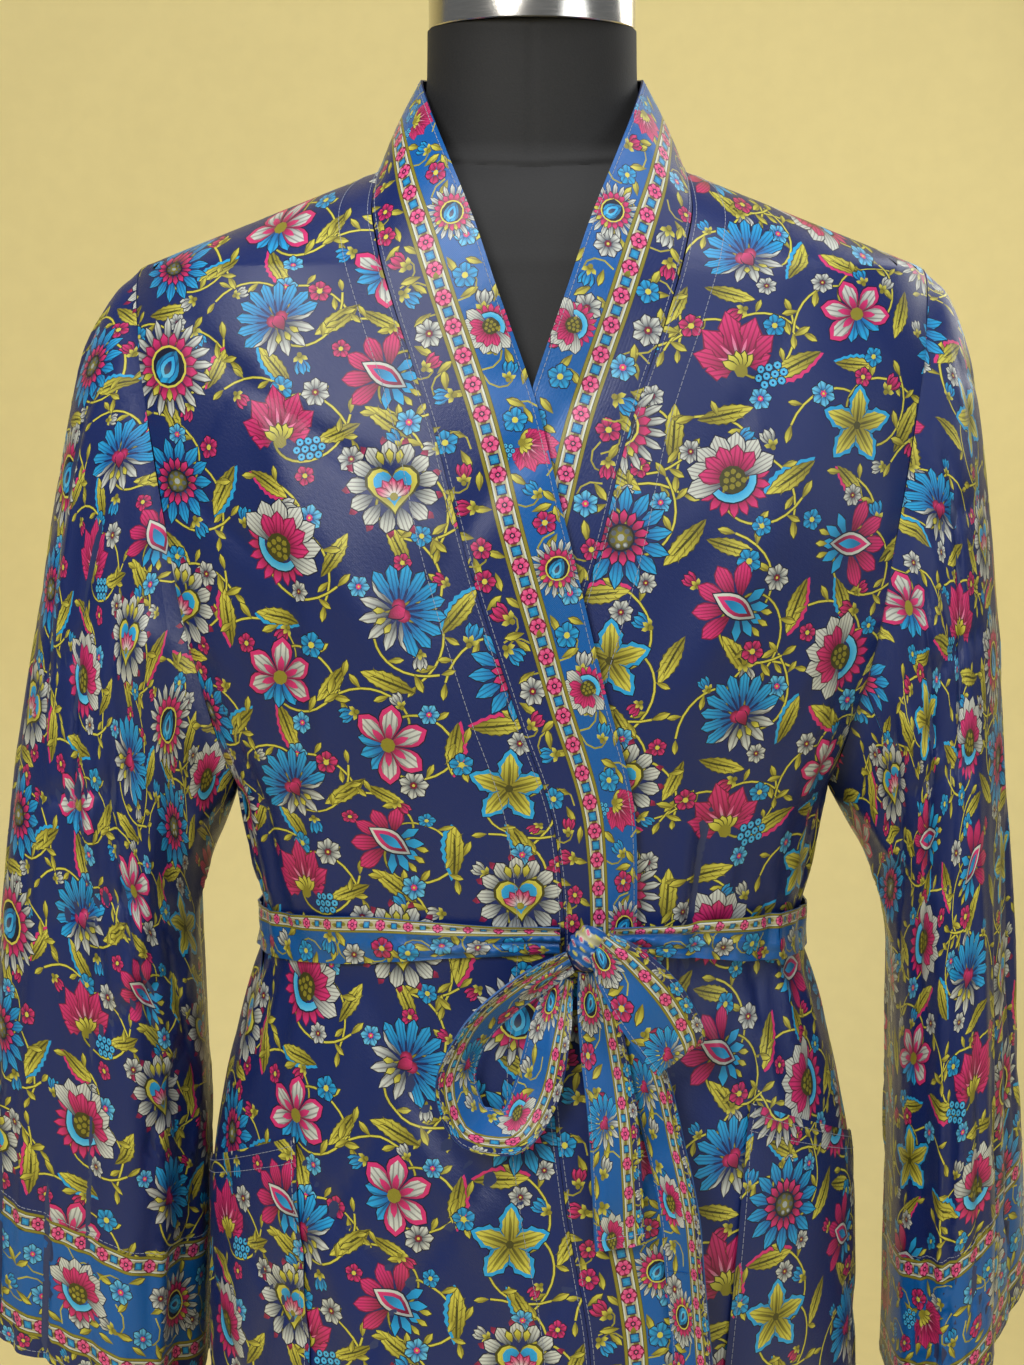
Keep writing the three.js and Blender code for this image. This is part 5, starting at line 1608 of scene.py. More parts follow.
# ---------------------------------------------------------------- the robe's pieces
@dataclass
class Panels:
    """The back, the fronts and the pockets."""

    satin: bpy.types.Material
    prints: PrintRoom
    rows: int = 341
    columns: int = 201

    def heights(self) -> Array:
        """The net's heights, closer together over the shoulders."""
        low = np.linspace(HEM_Z, TIP_Z, self.rows - 60, endpoint=False)
        return np.concatenate([low, np.linspace(TIP_Z, PANEL_TOP, 60)])

    def along(self, net: Array) -> Array:
        """How far each row lies up the cut, the same all across it."""
        steps = np.diff(net, axis=0)
        rise = np.hypot(steps[..., 1], steps[..., 2]).mean(axis=1)
        return np.repeat(np.concatenate([[0], np.cumsum(rise)])[:, None], net.shape[1], axis=1)

    def softened(self, chart: Chart, facing: int) -> Chart:
        """Turns the normals next to the armholes a little outwards, as the seam's allowance rounds the cloth there."""
        x, z = chart.net[..., 0], chart.net[..., 2]
        edge = ROBE.edge(z)[0]
        near = 0.45 * ease(1 - (edge - np.abs(x)) / 24) * ease((z - UNDERARM_Z) / 30) * (1 - ease((z - TIP_Z) / 12))
        outward = unit(np.stack([0.75 * np.sign(x), 0.6 * facing + 0 * x, 0.25 + 0 * x], -1))
        chart.normals = unit(mix(chart.normals, outward, near[..., None]))
        return chart

    def back(self) -> Chart:
        """The back panel."""
        z = self.heights()[:, None]
        _, depth, last = ROBE.section(z, True)
        reach = last - SEAM_GAP / 2 / depth
        turn = reach * np.linspace(-1, 1, self.columns * 2 - 1)[None]
        net = evened(ROBE.point(z + 0 * turn, turn, True))
        across = arc(net, 1)
        across = across - across[:, self.columns - 1][:, None]
        return self.softened(Chart(net, across, self.along(net), np.array([0, -60.0, 900])), 1)

    def front(self, side: Side) -> Chart:
        """A front panel, from its band seam to its side."""
        z = self.heights()
        net = evened(panel_net(side, self.columns, z))
        start = (net[:, 0, 0] * side.value)[:, None]
        across = (start + arc(net, 1)) * side.value
        return self.softened(Chart(net, across, self.along(net)), -1)

    def pocket(self, side: Side) -> Chart:
        """A patch pocket, with its slanting top."""
        in_top, in_bottom, top_in, top_out, bottom = RIGHT_POCKET if side is Side.RIGHT else LEFT_POCKET
        up = np.linspace(0, 1, 81)[:, None]
        out = np.linspace(0, 1, 61)[None]
        start = mix(in_bottom, in_top, up)
        level = mix(bottom, mix(top_in, top_out, out), up)
        half, _, last = ROBE.section(level, False)
        band = ROBE.turn_at(BAND.read("x", level) + SEAM_GAP / 2, level)
        end = last - SEAM_GAP / 2 / half
        first = ROBE.turn_at(start + 0 * level, level)
        turn = mix(first, band + (end - band) * (1 - 0.12 / 16), out)
        x = half * bulge(turn)
        net = ROBE.front(side.value * x, level, -side.value, POCKET_OFF)
        across = (start + arc(net, 1)) * side.value
        along = level * 1.02
        return Chart(net, across, along)

    def build(self) -> None:
        for name, chart, start, inner in (
            ("back", self.back(), (30.0, 0.0), 12.0), ("front_right", self.front(Side.RIGHT), (-8.0, 24.0), 10.0),
            ("front_left", self.front(Side.LEFT), (47.0, 96.0), 10.0),
            ("pocket_right", self.pocket(Side.RIGHT), (-73.0, 170.0), 8.0),
            ("pocket_left", self.pocket(Side.LEFT), (151.0, 60.0), 8.0),
        ):
            laid = self.prints.field.over(chart, start)
            thing = ClothSheet(chart, laid, CLOTH, inner).build(name + "_cloth", self.satin)
            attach(thing, "root")
            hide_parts(name)
            () if "pocket" in name else ("form_torso_cover",)


@dataclass
class Sleeve:
    """A wide sleeve, seamed under the arm, with its bordered cuff."""

    side: Side
    satin: bpy.types.Material
    prints: PrintRoom

    def net(self) -> Array:
        """The sleeve's net, from cuff to armhole and round from the seam under the arm."""
        table, folds, creases = (
            (RIGHT_SLEEVE, RIGHT_SLEEVE_FOLDS, RIGHT_SLEEVE_CREASES) if self.side is Side.RIGHT
            else (LEFT_SLEEVE, LEFT_SLEEVE_FOLDS, LEFT_SLEEVE_CREASES)
        )
        at = np.linspace(1, 0, 201)[:, None]
        turn = np.radians(np.linspace(-179.95, 179.95, 301))[None] + 0 * at
        value = {name: table.read(name, at + 0 * turn) for name in table.columns}
        c, s = np.cos(turn), np.sin(turn)
        degrees = np.degrees(turn) % 360
        move = fold_sum(folds, degrees, at) + SLEEVE_CREASE * fold_sum(creases, degrees, at)
        signed = np.degrees(turn)
        place = (signed * SLEEVE_MM_PER_DEGREE, at * SLEEVE_LONG, 8.0 + self.side.value)
        inside = ease(at / 0.15) * ease((180 - np.abs(signed)) / 25)
        move = move + (SLEEVE_RIPPLE * ripple(*place) + SLEEVE_WRINKLE * wrinkles(*place)) * inside
        gap = 0.55 + 0.25 * (1 - c)
        move = move + SLEEVE_HEAD * ease(at / 0.045) * (1 - ease((at - 0.05) / 0.2)) * np.clip(c + 0.1, 0, 1)
        span_x, span_z = (value["outX"] - value["inX"]) / 2, (value["outZ"] - value["inZ"]) / 2
        long = np.hypot(span_x, span_z)
        away = unit(np.stack([c / long, s / value["deep"]], -1))
        x = (value["outX"] + value["inX"]) / 2 + span_x * c + away[..., 0] * move * span_x / long
        z = (value["outZ"] + value["inZ"]) / 2 + span_z * c + away[..., 0] * move * span_z / long
        y = (value["outY"] + value["inY"]) / 2 + (value["outY"] - value["inY"]) / 2 * c
        y = y - value["deep"] * s - away[..., 1] * move
        return np.stack([self.side.value * (x + gap), y, z], -1)

    def chart(self) -> Chart:
        """The sleeve laid flat: along is counted up from the hem."""
        net = self.net()
        across = arc(net, 1)
        across = across - across[:, across.shape[1] // 2][:, None]
        middle = net.mean(axis=1, keepdims=True)
        chart = Chart(net, across, arc(net, 0), middle)
        near = 0.55 * (1 - ease(np.linspace(1, 0, len(net)) / 0.13))[:, None, None]
        fore = np.sign(net[..., 1:2] - SEAM_Y) * np.clip(np.abs(net[..., 1:2] - SEAM_Y) / 50, 0, 1)
        panel = np.concatenate([0.4 * self.side.value + 0 * fore, fore, 0.35 + 0 * fore], -1)
        chart.normals = unit(mix(chart.normals, unit(panel), near))
        return chart

    def build(self) -> None:
        name = f"sleeve_{self.side.name.lower()}"
        chart = self.chart()
        left = -150.0 if self.side is Side.RIGHT else 77.0
        cuff = [piece for piece in self.prints.cuff.over(chart, (left, 0.0)) if abs(piece[2]) < 1]
        above = self.prints.cuff_top + self.prints.tall
        laid = cuff + self.prints.field.over(chart, (left, above), above)
        thing = ClothSheet(chart, laid, CLOTH, 9.0).build(name + "_cloth", self.satin)
        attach(thing, "root")
        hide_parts(name)


@dataclass
class Band:
    """Half of the long front and neck band."""

    side: Side
    satin: bpy.types.Material
    prints: PrintRoom
    columns: int = 25
    front_rows: int = 300

    def front_row(self, z: float) -> Array:
        """The band across one height of a front."""
        own = self.side.value
        x = BAND.read("x", z)
        slope = (BAND.read("x", z + 4) - BAND.read("x", z - 4)) / 8
        long = math.hypot(1, slope)
        reach = SEAM_GAP / 2 + np.linspace(0, 1, self.columns) * BAND.read("width", z)
        return ROBE.front(own * (x - reach / long), z + reach * slope / long, -own)

    def collar_row(self, seam: Array, edge: Array, bent: float) -> Array:
        """The band from a seam point to its free edge, bent up by an angle in degrees."""
        share = np.linspace(0, 1, self.columns)[:, None]
        lift = math.sin(math.radians(bent))
        start = seam + unit(edge - seam) * (SEAM_GAP + lift)
        row = mix(start[None], edge[None], share)
        flat = row * np.array([1.0, 1.0, 0.0])
        return row + unit(flat) * 2.2 * np.sin(math.pi * share) * lift

    def net(self) -> Array:
        """The band's net, from the hem to the centre back."""
        own = self.side.value
        low = COLLAR_FRONT.columns["z"][0]
        rows = [self.front_row(z) for z in np.linspace(HEM_Z, low, self.front_rows)]
        for z in np.linspace(low, PANEL_TOP, 50)[1:]:
            seam = ROBE.front(np.array(own * BAND.read("x", z)), np.array(z), -own)
            edge = np.array([own * COLLAR_FRONT.read("x", z), COLLAR_FRONT.read("y", z), COLLAR_FRONT.read("edge", z)])
            rows.append(self.collar_row(seam, edge, float(45 * ease((z - low) / 80))))
        last = ROBE.section(np.array(PANEL_TOP), True)[2] - SEAM_GAP / 2 / NECK_X
        for share in np.linspace(1, 0, 41)[1:]:
            seam = ROBE.point(np.array(PANEL_TOP), np.array(own * last * share), True)
            edge = np.array([own * COLLAR_BACK.read("x", 1 - share), COLLAR_BACK.read("y", 1 - share),
                             COLLAR_BACK.read("edge", 1 - share)])
            apart = np.array([own * SEAM_GAP * (share == 0), 0, 0])
            rows.append(self.collar_row(seam + apart, edge + apart, 45.0))
        net = np.array(rows)
        soft = np.mean([np.roll(net, k, axis=0) for k in range(-9, 10)], axis=0)
        near = np.exp(-(((np.arange(len(net)) - self.front_rows) / 14) ** 2))
        return evened(mix(net, soft, near[:, None, None]))

    def chart(self) -> Chart:
        """The band laid flat, its seam at 0."""
        net = self.net()
        across = np.repeat(np.linspace(0, self.prints.band, self.columns)[None], len(net), axis=0) * self.side.value
        steps = np.linalg.norm(np.diff(net[:, self.columns // 2], axis=0), axis=1)
        along = np.repeat(np.concatenate([[0], np.cumsum(steps)])[:, None], self.columns, axis=1)
        return Chart(net, across, along, np.array([0, 20.0, 1100]))

    def build(self) -> None:
        name = f"band_{self.side.name.lower()}"
        chart = self.chart()
        own_print = self.prints.bands[self.side]
        laid = own_print.over(chart, (own_print.box[0], 40.0))
        thing = ClothSheet(chart, laid, BAND_CLOTH, 7.0).build(name + "_cloth", self.satin)
        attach(thing, "root")
        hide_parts(name)


@dataclass
class Belt:
    """The tied belt: its turn round the waist, the knot, two loops and two tails."""

    satin: bpy.types.Material
    prints: PrintRoom

    def height(self, turn: Array) -> Array:
        """The height of the belt's middle round the waist."""
        return BELT_BACK_Z + BELT_RISE * ((1 + np.cos(turn)) / 2) ** 2.2

    def wrap(self) -> Chart:
        """The belt's turn round the waist, gathered into fine pleats next to the knot."""
        knot = float(ROBE.turn_at(np.array(KNOT_X), np.array(KNOT_Z)))
        clear, pinched, pleated = (math.radians(degrees) for degrees in (4.5, 42, 60))
        turn = np.linspace(knot + clear, knot + 2 * math.pi - clear, 701)[:, None]
        up = np.linspace(-1, 1, 25)[None]
        apart = np.abs((turn - knot + math.pi) % (2 * math.pi) - math.pi)
        half = BELT_HALF - BELT_PINCH * (1 - ease((apart - clear) / pinched))
        near = 1 - ease((apart - clear) / pleated)
        wrapped = np.where(turn > math.pi, turn - 2 * math.pi, turn)
        z = self.height(wrapped) + up * half
        pleats = near * (1.25 * np.sin(up * 7.5 + 4 * turn) + 0.7 * np.sin(up * 14 - 7 * turn + 1))
        slack = 0.55 * np.sin(turn * 9 + 2.2 * up) * (1 - near) + 0.35 * np.sin(turn * 23 + up * 3)
        off = BELT_OFF + 0.8 * (1 - up * up) + 0.8 * near + pleats + slack
        wrapped = wrapped + 0 * z
        behind = np.cos(wrapped) < 0
        rear = ROBE.point(z, np.arctan2(np.sin(wrapped), -np.cos(wrapped)), True, off)
        half_x = ROBE.section(z, False)[0]
        x = half_x * bulge(wrapped)
        fore = ROBE.front(np.where(behind, 0, x), z, 1, off)
        net = np.where(behind[..., None], rear, fore)
        across = np.repeat(np.linspace(-self.prints.folded, self.prints.folded, 25)[None], len(net), axis=0)
        along = np.repeat(arc(net, 0)[:, 12][:, None], 25, axis=1)
        return Chart(net, across, along, np.array([0, 0, 1000.0]))

    def ribbon(self, rows: Table, samples: int, pleated: float, wave: float) -> Chart:
        """A loose piece of the belt through its rows.

        Args:
            rows: Columns x, z, off, half, tilt and turn.
            samples: How many rows the net has.
            pleated: How far along, as a share, the pleats from the knot reach.
            wave: How far its middle cups, in millimetres.
        """
        table = rows.numbered()
        at = rows.whole(samples)
        value = {name: table.read(name, at) for name in rows.columns}
        middle = ROBE.front(value["x"], value["z"], 1, value["off"])
        tilt, turn = np.radians(value["tilt"]), np.radians(value["turn"])
        across = np.stack([np.cos(tilt) * np.cos(turn), -np.sin(turn), np.sin(tilt) * np.cos(turn)], -1)
        w = np.linspace(-1, 1, 21)
        net = middle[:, None] + across[:, None] * (w[None, :, None] * value["half"][:, None, None])
        along = np.gradient(middle, axis=0)
        face = unit(np.cross(across, along))[:, None]
        share = (at / at[-1])[:, None]
        ends = np.maximum(1 - ease(share / pleated), 1 - ease((1 - share) / pleated))
        bend = wave * (1 - w[None] ** 2) * np.sin(math.pi * share)
        bend = bend + ends * (1.2 * np.sin(w[None] * 7 + 2) + 0.6 * np.sin(w[None] * 13))
        bend = bend + 0.5 * np.sin(share * 21 + w[None] * 2.5)
        net = net + face * bend[..., None]
        flat_x = np.repeat((w * self.prints.belt)[None], samples, axis=0)
        flat_y = np.repeat(arc(net, 0)[:, 10][:, None], 21, axis=1)
        return Chart(net, flat_x, flat_y)

    def knot(self) -> bpy.types.Object:
        """The knot: one rounded lump with the belt's folds in its surface."""
        centre = ROBE.front(np.array(KNOT_X), np.array(KNOT_Z), 1, KNOT_OFF)
        turn, rise = np.meshgrid(np.linspace(0, 2 * math.pi, 97)[:-1], np.linspace(-1, 1, 65) * math.pi / 2)
        round_x, round_z = np.cos(rise) * np.sin(turn), np.sin(rise)
        round_y = -np.cos(rise) * np.cos(turn)
        slope = 0.94 * round_z + 0.42 * round_x
        folds = 0.055 * np.sin(slope * 9.5 + 0.8 * round_x) + 0.028 * np.sin(slope * 19 + 2 * round_x)
        creases = 0.09 * np.exp(-(((slope - 0.28) / 0.09) ** 2)) + 0.08 * np.exp(-(((slope + 0.45) / 0.08) ** 2))
        lump = np.stack([round_x, round_y, round_z], -1) * KNOT_SIZE
        points = lump * (1 + folds - creases)[..., None] + centre
        rows, columns = turn.shape
        faces = []
        for i in range(rows - 1):
            for j in range(columns):
                k = (j + 1) % columns
                faces.append((i * columns + j, i * columns + k, (i + 1) * columns + k, (i + 1) * columns + j))
        mesh = bpy.data.meshes.new("belt_knot_cloth")
        mesh.from_pydata((points.reshape(-1, 3) * MM).tolist(), [], faces)
        blue, deep, cream = (np.array(tone.value) for tone in (Ink.BLUE, Ink.NAVY, Ink.CREAM))
        across = slope.reshape(-1)
        colour = mix(deep, blue, ease((across + 0.75) / 0.2)[:, None])
        stripe = ease((across - 0.45) / 0.03) * (1 - ease((across - 0.78) / 0.03))
        colour = mix(colour, cream, stripe[:, None])
        spots = np.sin(turn.reshape(-1) * 5 + across * 3) * np.sin(across * 9 + 1)
        for low, tone in ((0.45, Ink.WHITE), (0.72, Ink.PINK)):
            colour = mix(colour, np.array(tone.value), (ease((spots - low) / 0.08) * 0.9)[:, None])
        colour = mix(colour, np.array(Ink.GOLD.value), (ease((-spots - 0.7) / 0.08) * 0.9)[:, None])
        corners = np.zeros(len(mesh.loops), int)
        mesh.loops.foreach_get("vertex_index", corners)
        places = np.stack([turn.reshape(-1) * 11, across * 24], -1)
        lay_ink(mesh, colour[corners], np.zeros(len(corners)), places[corners])
        mesh.materials.append(self.satin)
        weld_mesh(mesh)
        mesh.polygons.foreach_set("use_smooth", np.ones(len(mesh.polygons), bool))
        LOG.info("belt_knot_cloth: %d faces", len(mesh.polygons))
        return linked("belt_knot_cloth", mesh)

    def charts(self) -> dict[str, Chart]:
        """The belt's stretches by their nodes' names."""
        return {
            "belt_wrap": self.wrap(), "belt_loop_left": self.ribbon(LOOP_LEFT, 90, 0.3, 1.6),
            "belt_loop_right": self.ribbon(LOOP_RIGHT, 120, 0.22, 1.2),
            "belt_tail_short": self.ribbon(TAIL_SHORT, 80, 0.35, 1.0),
            "belt_tail_long": self.ribbon(TAIL_LONG, 130, 0.3, 1.2),
        }

    def build(self) -> None:
        """Builds the belt's pieces."""
        for name, chart in self.charts().items():
            stretch = self.prints.folded_belt if name == "belt_wrap" else self.prints.full_belt
            laid = stretch.over(chart, (stretch.box[0], 13.0 * len(name)))
            thing = ClothSheet(chart, laid, BELT_CLOTH, 5.0).build(name + "_cloth", self.satin)
            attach(thing, "root")
            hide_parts(name)
            declare_belt(chart)
        knot = self.knot()
        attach(knot, "root")
        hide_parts("belt_knot")


def declare_belt(chart: Chart) -> None:
    """Works out the width that a stretch of the belt shows; the width is not used."""
    wide = float(np.mean(np.linalg.norm(np.diff(chart.net, axis=1), axis=-1).sum(axis=1))) * MM


# ---------------------------------------------------------------- the dress form
@dataclass(frozen=True)
class Finish:
    """A plain finish with grain in its roughness and bump."""

    name: str
    colour: tuple[float, float, float]
    rough: float
    metal: float = 0.0
    grain: float = 60.0
    stretch: tuple[float, float, float] = (1.0, 1.0, 1.0)
    bump: float = 0.1
    vary: float = 0.1
    sheen: float = 0.0
    one_sided: bool = False

    def make(self) -> bpy.types.Material:
        """The material, clear from behind where it is one-sided."""
        material = bpy.data.materials.new(self.name)
        scribe = NodeScribe(material)
        place = scribe.add("TexCoord").outputs["Object"]
        scaled = scribe.add("Mapping", {"vector_type": "POINT"}, Vector=place, Scale=self.stretch)
        solid = {"noise_dimensions": "3D"}
        grain = scribe.add("TexNoise", solid, Vector=scaled.outputs[0], Scale=self.grain, Detail=5.0)
        cloud = scribe.add("TexNoise", solid, Vector=place, Scale=6.0, Detail=2.0)
        mixed = scribe.value(grain.outputs["Fac"]) * 0.6 + scribe.value(cloud.outputs["Fac"]) * 0.4
        light = tuple(min(1.0, c * (1 + 2 * self.vary) + 0.004) for c in self.colour) + (1.0,)
        dark = tuple(c * (1 - 2 * self.vary) for c in self.colour) + (1.0,)
        tone = scribe.add("Mix", {"data_type": "RGBA"}, s0=mixed.step(0.3, 0.7), s6=dark, s7=light)
        bump = scribe.add("Bump", None, Strength=self.bump, Distance=0.0005, Height=grain.outputs["Fac"])
        rough = mixed * 0.16 + (self.rough - 0.08)
        shader = scribe.add("BsdfPrincipled", None, Base_Color=tone.outputs[2], Roughness=rough, Normal=bump.outputs[0])
        shader.inputs["Metallic"].default_value = self.metal
        shader.inputs["Sheen Weight"].default_value = self.sheen
        shader.inputs["Sheen Roughness"].default_value = 0.5
        surface = shader.outputs[0]
        if self.one_sided:
            behind = scribe.add("NewGeometry").outputs["Backfacing"]
            clear = scribe.add("BsdfTransparent").outputs[0]
            surface = scribe.add("MixShader", None, s0=behind, s1=surface, s2=clear).outputs[0]
        scribe.finish(surface)
        return material


def skin(name: str, rings: Array, material: bpy.types.Material) -> bpy.types.Object:
    """A smooth closed solid through rings of points given in millimetres."""
    rows, columns = rings.shape[:2]
    faces = [(i * columns + j, i * columns + (j + 1) % columns, (i + 1) * columns + (j + 1) % columns,
              (i + 1) * columns + j) for i in range(rows - 1) for j in range(columns)]
    faces += [tuple(range(columns))[::-1], tuple(range((rows - 1) * columns, rows * columns))]
    mesh = bpy.data.meshes.new(name)
    mesh.from_pydata((rings.reshape(-1, 3) * MM).tolist(), [], faces)
    weld_mesh(mesh)
    bm = bmesh.new()
    bm.from_mesh(mesh)
    for face in bm.faces:
        face.smooth = len(face.verts) <= 4
    for edge in bm.edges:
        edge.smooth = edge.calc_face_angle(0.0) < math.radians(38)
    bm.to_mesh(mesh)
    bm.free()
    mesh.materials.append(material)
    LOG.info("%s: %d faces", name, len(mesh.polygons))
    return linked(name, mesh)


def spun(name: str, profile: Sequence[Point], y: float, z: float, material: bpy.types.Material) -> bpy.types.Object:
    """A turned piece from a profile of radii and heights in millimetres."""
    turn = np.linspace(0, 2 * math.pi, 96, endpoint=False)
    rings = np.array([[(r * math.cos(t), y + r * math.sin(t), z + h) for t in turn] for r, h in profile])
    return skin(name, rings, material)


@dataclass
class DressForm:
    """The limbless torso, its neck cap, pole and foot."""

    cover: Finish
    steel: Finish
    enamel: Finish
    sides: int = 160

    def section(self, z: float, turn: Array) -> Array:
        """The torso's outline at a height."""
        half, front, back = (float(FORM.read(name, np.array(z))) for name in ("half", "front", "back"))
        s, c = np.sin(turn), np.cos(turn)
        power = 2 / FORM_ROUNDING
        depth = np.where(c > 0, front + SEAM_Y, back - SEAM_Y)
        x = half * np.sign(s) * np.abs(s) ** power
        y = SEAM_Y - depth * np.sign(c) * np.abs(c) ** power
        return np.stack([x, y, np.full_like(turn, z)], -1)

    def torso(self, cover: bpy.types.Material) -> bpy.types.Object:
        """The padded torso, covered in stretched cloth with its seams."""
        turn = np.linspace(0, 2 * math.pi, self.sides, endpoint=False)
        levels = np.concatenate([np.linspace(FORM_FOOT_Z, 800, 8)[:-1], np.linspace(800, 1380, 60)[:-1],
                                 np.linspace(1380, 1480, 70)[:-1], np.linspace(1480, CAP_Z, 14)])
        rings = []
        for z in levels:
            ring = self.section(z, turn)
            seam = self.neck_seam(turn)
            dip = 0.9 * np.exp(-(((z - seam) / 1.6) ** 2)) - 0.5 * np.exp(-(((z - seam - 4) / 2.2) ** 2))
            centre = 0.7 * np.exp(-((ring[:, 0] / 1.3) ** 2))
            flat = unit(ring * np.array([1, 1, 0]) - np.array([0, SEAM_Y, 0]))
            rings.append(ring - flat * (dip + centre)[:, None])
        return skin("form_torso_cover", np.array(rings), cover)

    def neck_seam(self, turn: Array) -> Array:
        """The height of the seam round the base of the neck."""
        return 1458 - 13 * ((1 + np.cos(turn)) / 2) + 3 * np.abs(np.sin(turn))

    def build(self) -> None:
        """Builds the form and its stand."""
        cover, steel, enamel = self.cover.make(), self.steel.make(), self.enamel.make()
        torso = self.torso(cover)
        r, h = CAP_RADIUS, CAP_HEIGHT
        cap = spun("form_neck_cap_steel", (
            (0, 0), (r - 0.6, 0), (r, 0.6), (r, h - 6), (r - 0.4, h - 5), (r - 1.2, h - 3.4), (r - 2.6, h - 1.4),
            (r - 4.5, h - 0.2), (r - 8, h + 1.0), (r * 0.75, h + 3.6), (r * 0.5, h + 5.6), (r * 0.25, h + 6.7),
            (0, h + CAP_DOME)), CAP_Y, CAP_BASE, steel)
        low, high = FOOT_THICK + HUB_TALL + SEAM_GAP, FORM_FOOT_Z - SEAM_GAP
        pole = spun("form_pole_steel", ((0, low), (POLE_R, low), (POLE_R, high), (0, high)), 0, 0, steel)
        foot = spun("form_foot_enamel", (
            (0, 0), (FOOT_R - 0.8, 0), (FOOT_R, 0.8), (FOOT_R, 5.6), (FOOT_R - 1.2, 7.6), (FOOT_R - 4, 8.8),
            (FOOT_R - 7, 9.1), (HUB_R + 12, 11.6), (HUB_R + 5, 13.4), (HUB_R + 1, 17), (HUB_R, 22), (HUB_R - 4, 40),
            (POLE_R + 6, FOOT_THICK + HUB_TALL - 2), (POLE_R + 5, FOOT_THICK + HUB_TALL),
            (0, FOOT_THICK + HUB_TALL)), 0, 0, enamel)
        for thing, node, slot in ((torso, "form_torso", "form_cover"), (cap, "form_neck_cap", "form_steel"),
                                  (pole, "form_pole", "form_steel"), (foot, "form_foot", "foot_enamel")):
            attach(thing, "root")
            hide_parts(node)


# ---------------------------------------------------------------- topstitching
class StitchTree:
    """A geometry tree that sews even stitches along the edges of a line."""

    def __init__(self, thread: bpy.types.Material) -> None:
        tree = bpy.data.node_groups.new("topstitch", "GeometryNodeTree")
        face = tree.interface
        face.new_socket("Geometry", in_out="INPUT", socket_type="NodeSocketGeometry")
        for name, value in (("Pitch", 3.4 * MM), ("Length", 2.5 * MM), ("Thickness", 0.19 * MM)):
            face.new_socket(name, in_out="INPUT", socket_type="NodeSocketFloat").default_value = value
        face.new_socket("Geometry", in_out="OUTPUT", socket_type="NodeSocketGeometry")
        self.tree = tree
        source, target = self.node("NodeGroupInput"), self.node("NodeGroupOutput")
        curve = self.node("GeometryNodeMeshToCurve", Mesh=source.outputs["Geometry"])
        even = self.node("GeometryNodeResampleCurve", {"mode": "LENGTH"}, Curve=curve.outputs[0],
                         Length=source.outputs["Pitch"])
        along = self.node("GeometryNodeInputTangent")
        aim = self.node("FunctionNodeAlignRotationToVector", {"axis": "Z"}, Vector=along.outputs[0])
        bead = self.node("GeometryNodeMeshCylinder", {"fill_type": "NGON"}, Vertices=6,
                         Radius=source.outputs["Thickness"], Depth=source.outputs["Length"])
        points = self.node("GeometryNodeInstanceOnPoints", None, Points=even.outputs[0], Instance=bead.outputs["Mesh"],
                           Rotation=aim.outputs[0])
        whole = self.node("GeometryNodeRealizeInstances", None, Geometry=points.outputs[0])
        dressed = self.node("GeometryNodeSetMaterial", None, Geometry=whole.outputs[0], Material=thread)
        tree.links.new(dressed.outputs[0], target.inputs[0])

    def node(self, kind: str, settings: Optional[dict] = None, **sockets: object) -> bpy.types.Node:
        """Adds a node with its settings and its sockets' values or links."""
        node = self.tree.nodes.new(kind)
        for name, value in (settings or {}).items():
            setattr(node, name, value)
        for name, value in sockets.items():
            if isinstance(value, bpy.types.NodeSocket):
                self.tree.links.new(value, node.inputs[name])
            else:
                node.inputs[name].default_value = value
        return node

    def sew(self, name: str, lines: Sequence[Array]) -> bpy.types.Object:
        """Sews stitches along lines of points.

        Args:
            name: The new piece's name.
            lines: Points in millimetres, one array for each line.

        Returns:
            The stitches, as one plain mesh.
        """
        points = np.concatenate(lines) * MM
        edges, at = [], 0
        for line in lines:
            edges += [(at + k, at + k + 1) for k in range(len(line) - 1)]
            at += len(line)
        guide = bpy.data.meshes.new(name + "_guide")
        guide.from_pydata(points.tolist(), edges, [])
        thing = linked(name + "_guide", guide)
        sewing = thing.modifiers.new("sewing", "NODES")
        sewing.node_group = self.tree
        graph = bpy.context.evaluated_depsgraph_get()
        graph.update()
        mesh = bpy.data.meshes.new_from_object(thing.evaluated_get(graph), depsgraph=graph)
        bpy.data.objects.remove(thing)
        mesh.name = name
        LOG.info("%s: %d faces", name, len(mesh.polygons))
        return linked(name, mesh)


